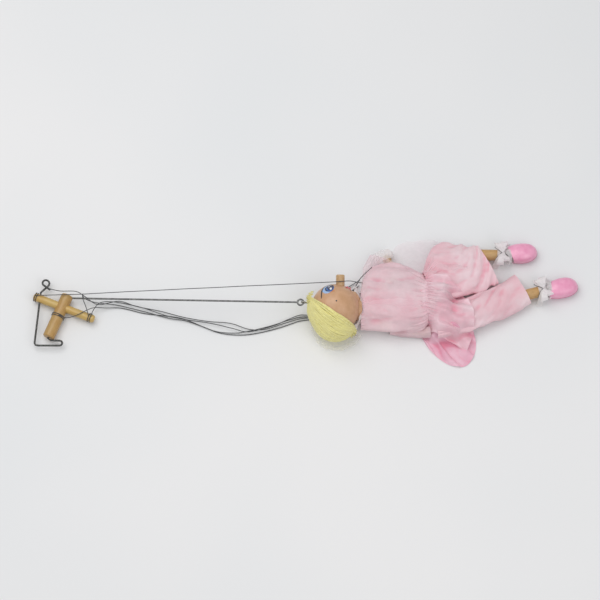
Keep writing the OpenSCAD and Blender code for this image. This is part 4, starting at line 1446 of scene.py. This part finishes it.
def loop_parts(knot, way, across, sign, reach, opening, rise, skew, width):
    """One loop, out from the knot and back to it, widest at its far end."""
    line, widths = [], []
    for k in range(LOOP_STEPS + 1):
        t = k / LOOP_STEPS
        swell = math.sin(math.pi * t)
        out = reach * swell ** 0.85
        height = opening * math.sin(2 * math.pi * t) + rise * swell - 0.22 * out
        line.append(knot + sign * out * across + height * UP + skew * swell * way)
        widths.append(LOOP_FOOT + (width - LOOP_FOOT) * swell ** 0.7)
    return line, widths, lambda i: way + 0.12 * UP


def tail_parts(middle, knot, way, across, sign, reach, skew):
    """One tail, from the knot down to the table, with a slight twist."""
    line = smooth_line([
        knot,
        knot + sign * 5 * across + 1.5 * UP + 0.3 * skew * way,
        middle + sign * 10 * across + 2 * UP + 0.7 * skew * way,
        middle + sign * reach * across - 5.5 * UP + skew * way,
    ], 6)
    line = [above_table(p, 0.6) for p in line]
    widths = [2.4 + 4.4 * min(1, i / 8) for i in range(len(line))]
    return line, widths, lambda i: way + 0.4 * UP * wave(70 * i)


def bow_parts(side):
    """Bands, loops and tails of ribbon on the shin, the ribbon's width lying along the shin."""
    middle, knot, way, across = bow_ways(side)
    count = BAND_STEPS + 1
    band = [middle + BAND_R * (wave(15 * k + 90) * across + wave(15 * k) * UP) for k in range(count)]
    runs = [
        (band, [6.5] * count, lambda i: way),
        ([p - 3.2 * way for p in band], [3] * count, lambda i: way + 0.3 * UP * wave(60 * i)),
    ]
    runs += [loop_parts(knot, way, across, *loop) for loop in LOOPS]
    runs += [tail_parts(middle, knot, way, across, *tail) for tail in TAILS]
    return runs


def thread_ends(side):
    """The two ends of the thread that ties the bow, hanging down on both sides."""
    _, knot, way, across = bow_ways(side)
    lines = [
        [knot, knot + sign * 3 * across - 4 * way, knot + sign * 8 * across - 7 * way - 6 * UP,
         knot + sign * 11 * across - 3 * way - 13 * UP]
        for sign in (-1, 1)
    ]
    return [(smooth_line(line, 6), 0.3) for line in lines]


for side in ANKLES:
    bow = add_strips(f"bow_{side}_ribbon", bow_parts(side), ribbon)
    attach(bow, f"shin_{side}")
    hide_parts(f"bow_{side}")
    tie = add_tubes(f"bow_{side}_thread", thread_ends(side), 5, thread)
    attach(tie, f"shin_{side}")

# %% [markdown]
# ## Floor and light
#
# The puppet lies on a pale surface under broad soft light from above. Two large area lamps and a
# dim sky give its weak, soft shadows. More light would clip the white ribbons and net, so the lamps
# stay low and the paleness of the surface comes from its own colour.

# %% Floor
FLOOR_Z, FLOOR_NEAR, FLOOR_FAR, FLOOR_SIDE = -0.3, -2500, 4500, 2500
FLOOR_LIGHT, FLOOR_DEEP = colour(232, 231, 231), colour(226, 227, 228)
table = Shader("surface")
pale = table.use(UNEVEN_TONE, Light=FLOOR_LIGHT, Deep=FLOOR_DEEP, Scale=2.2, Detail=2)
table.surface(Base_Color=pale["Colour"], Roughness=0.7)
corners = [
    (-FLOOR_SIDE, FLOOR_NEAR, FLOOR_Z),
    (FLOOR_SIDE, FLOOR_NEAR, FLOOR_Z),
    (FLOOR_SIDE, FLOOR_FAR, FLOOR_Z),
    (-FLOOR_SIDE, FLOOR_FAR, FLOOR_Z),
]
floor = add_mesh("floor", corners, [(0, 1, 2, 3)], table.material)

# %% Light
LAMPS = (  # name, place in millimetres, size in metres, power in watts
    ("key", (-500, 300, 1500), 1.4, 13),
    ("fill", (700, -700, 1200), 1.2, 5),
)
SKY, SKY_STRENGTH = (0.97, 0.985, 1, 1), 0.5
world = bpy.data.worlds.new("world")
world.use_nodes = True
world.node_tree.nodes["Background"].inputs["Color"].default_value = SKY
world.node_tree.nodes["Background"].inputs["Strength"].default_value = SKY_STRENGTH
scene.world = world
for name, place, size, power in LAMPS:
    data = bpy.data.lights.new(name, "AREA")
    data.size = size
    data.energy = power
    lamp = bpy.data.objects.new(name, data)
    lamp.location = mm(place)
    lamp.rotation_euler = (-mm(place)).to_track_quat("-Z", "Y").to_euler()
    scene.collection.objects.link(lamp)
    print(f"{name} lamp: {power} W over {size} m")
scene.view_settings.view_transform = "Standard"
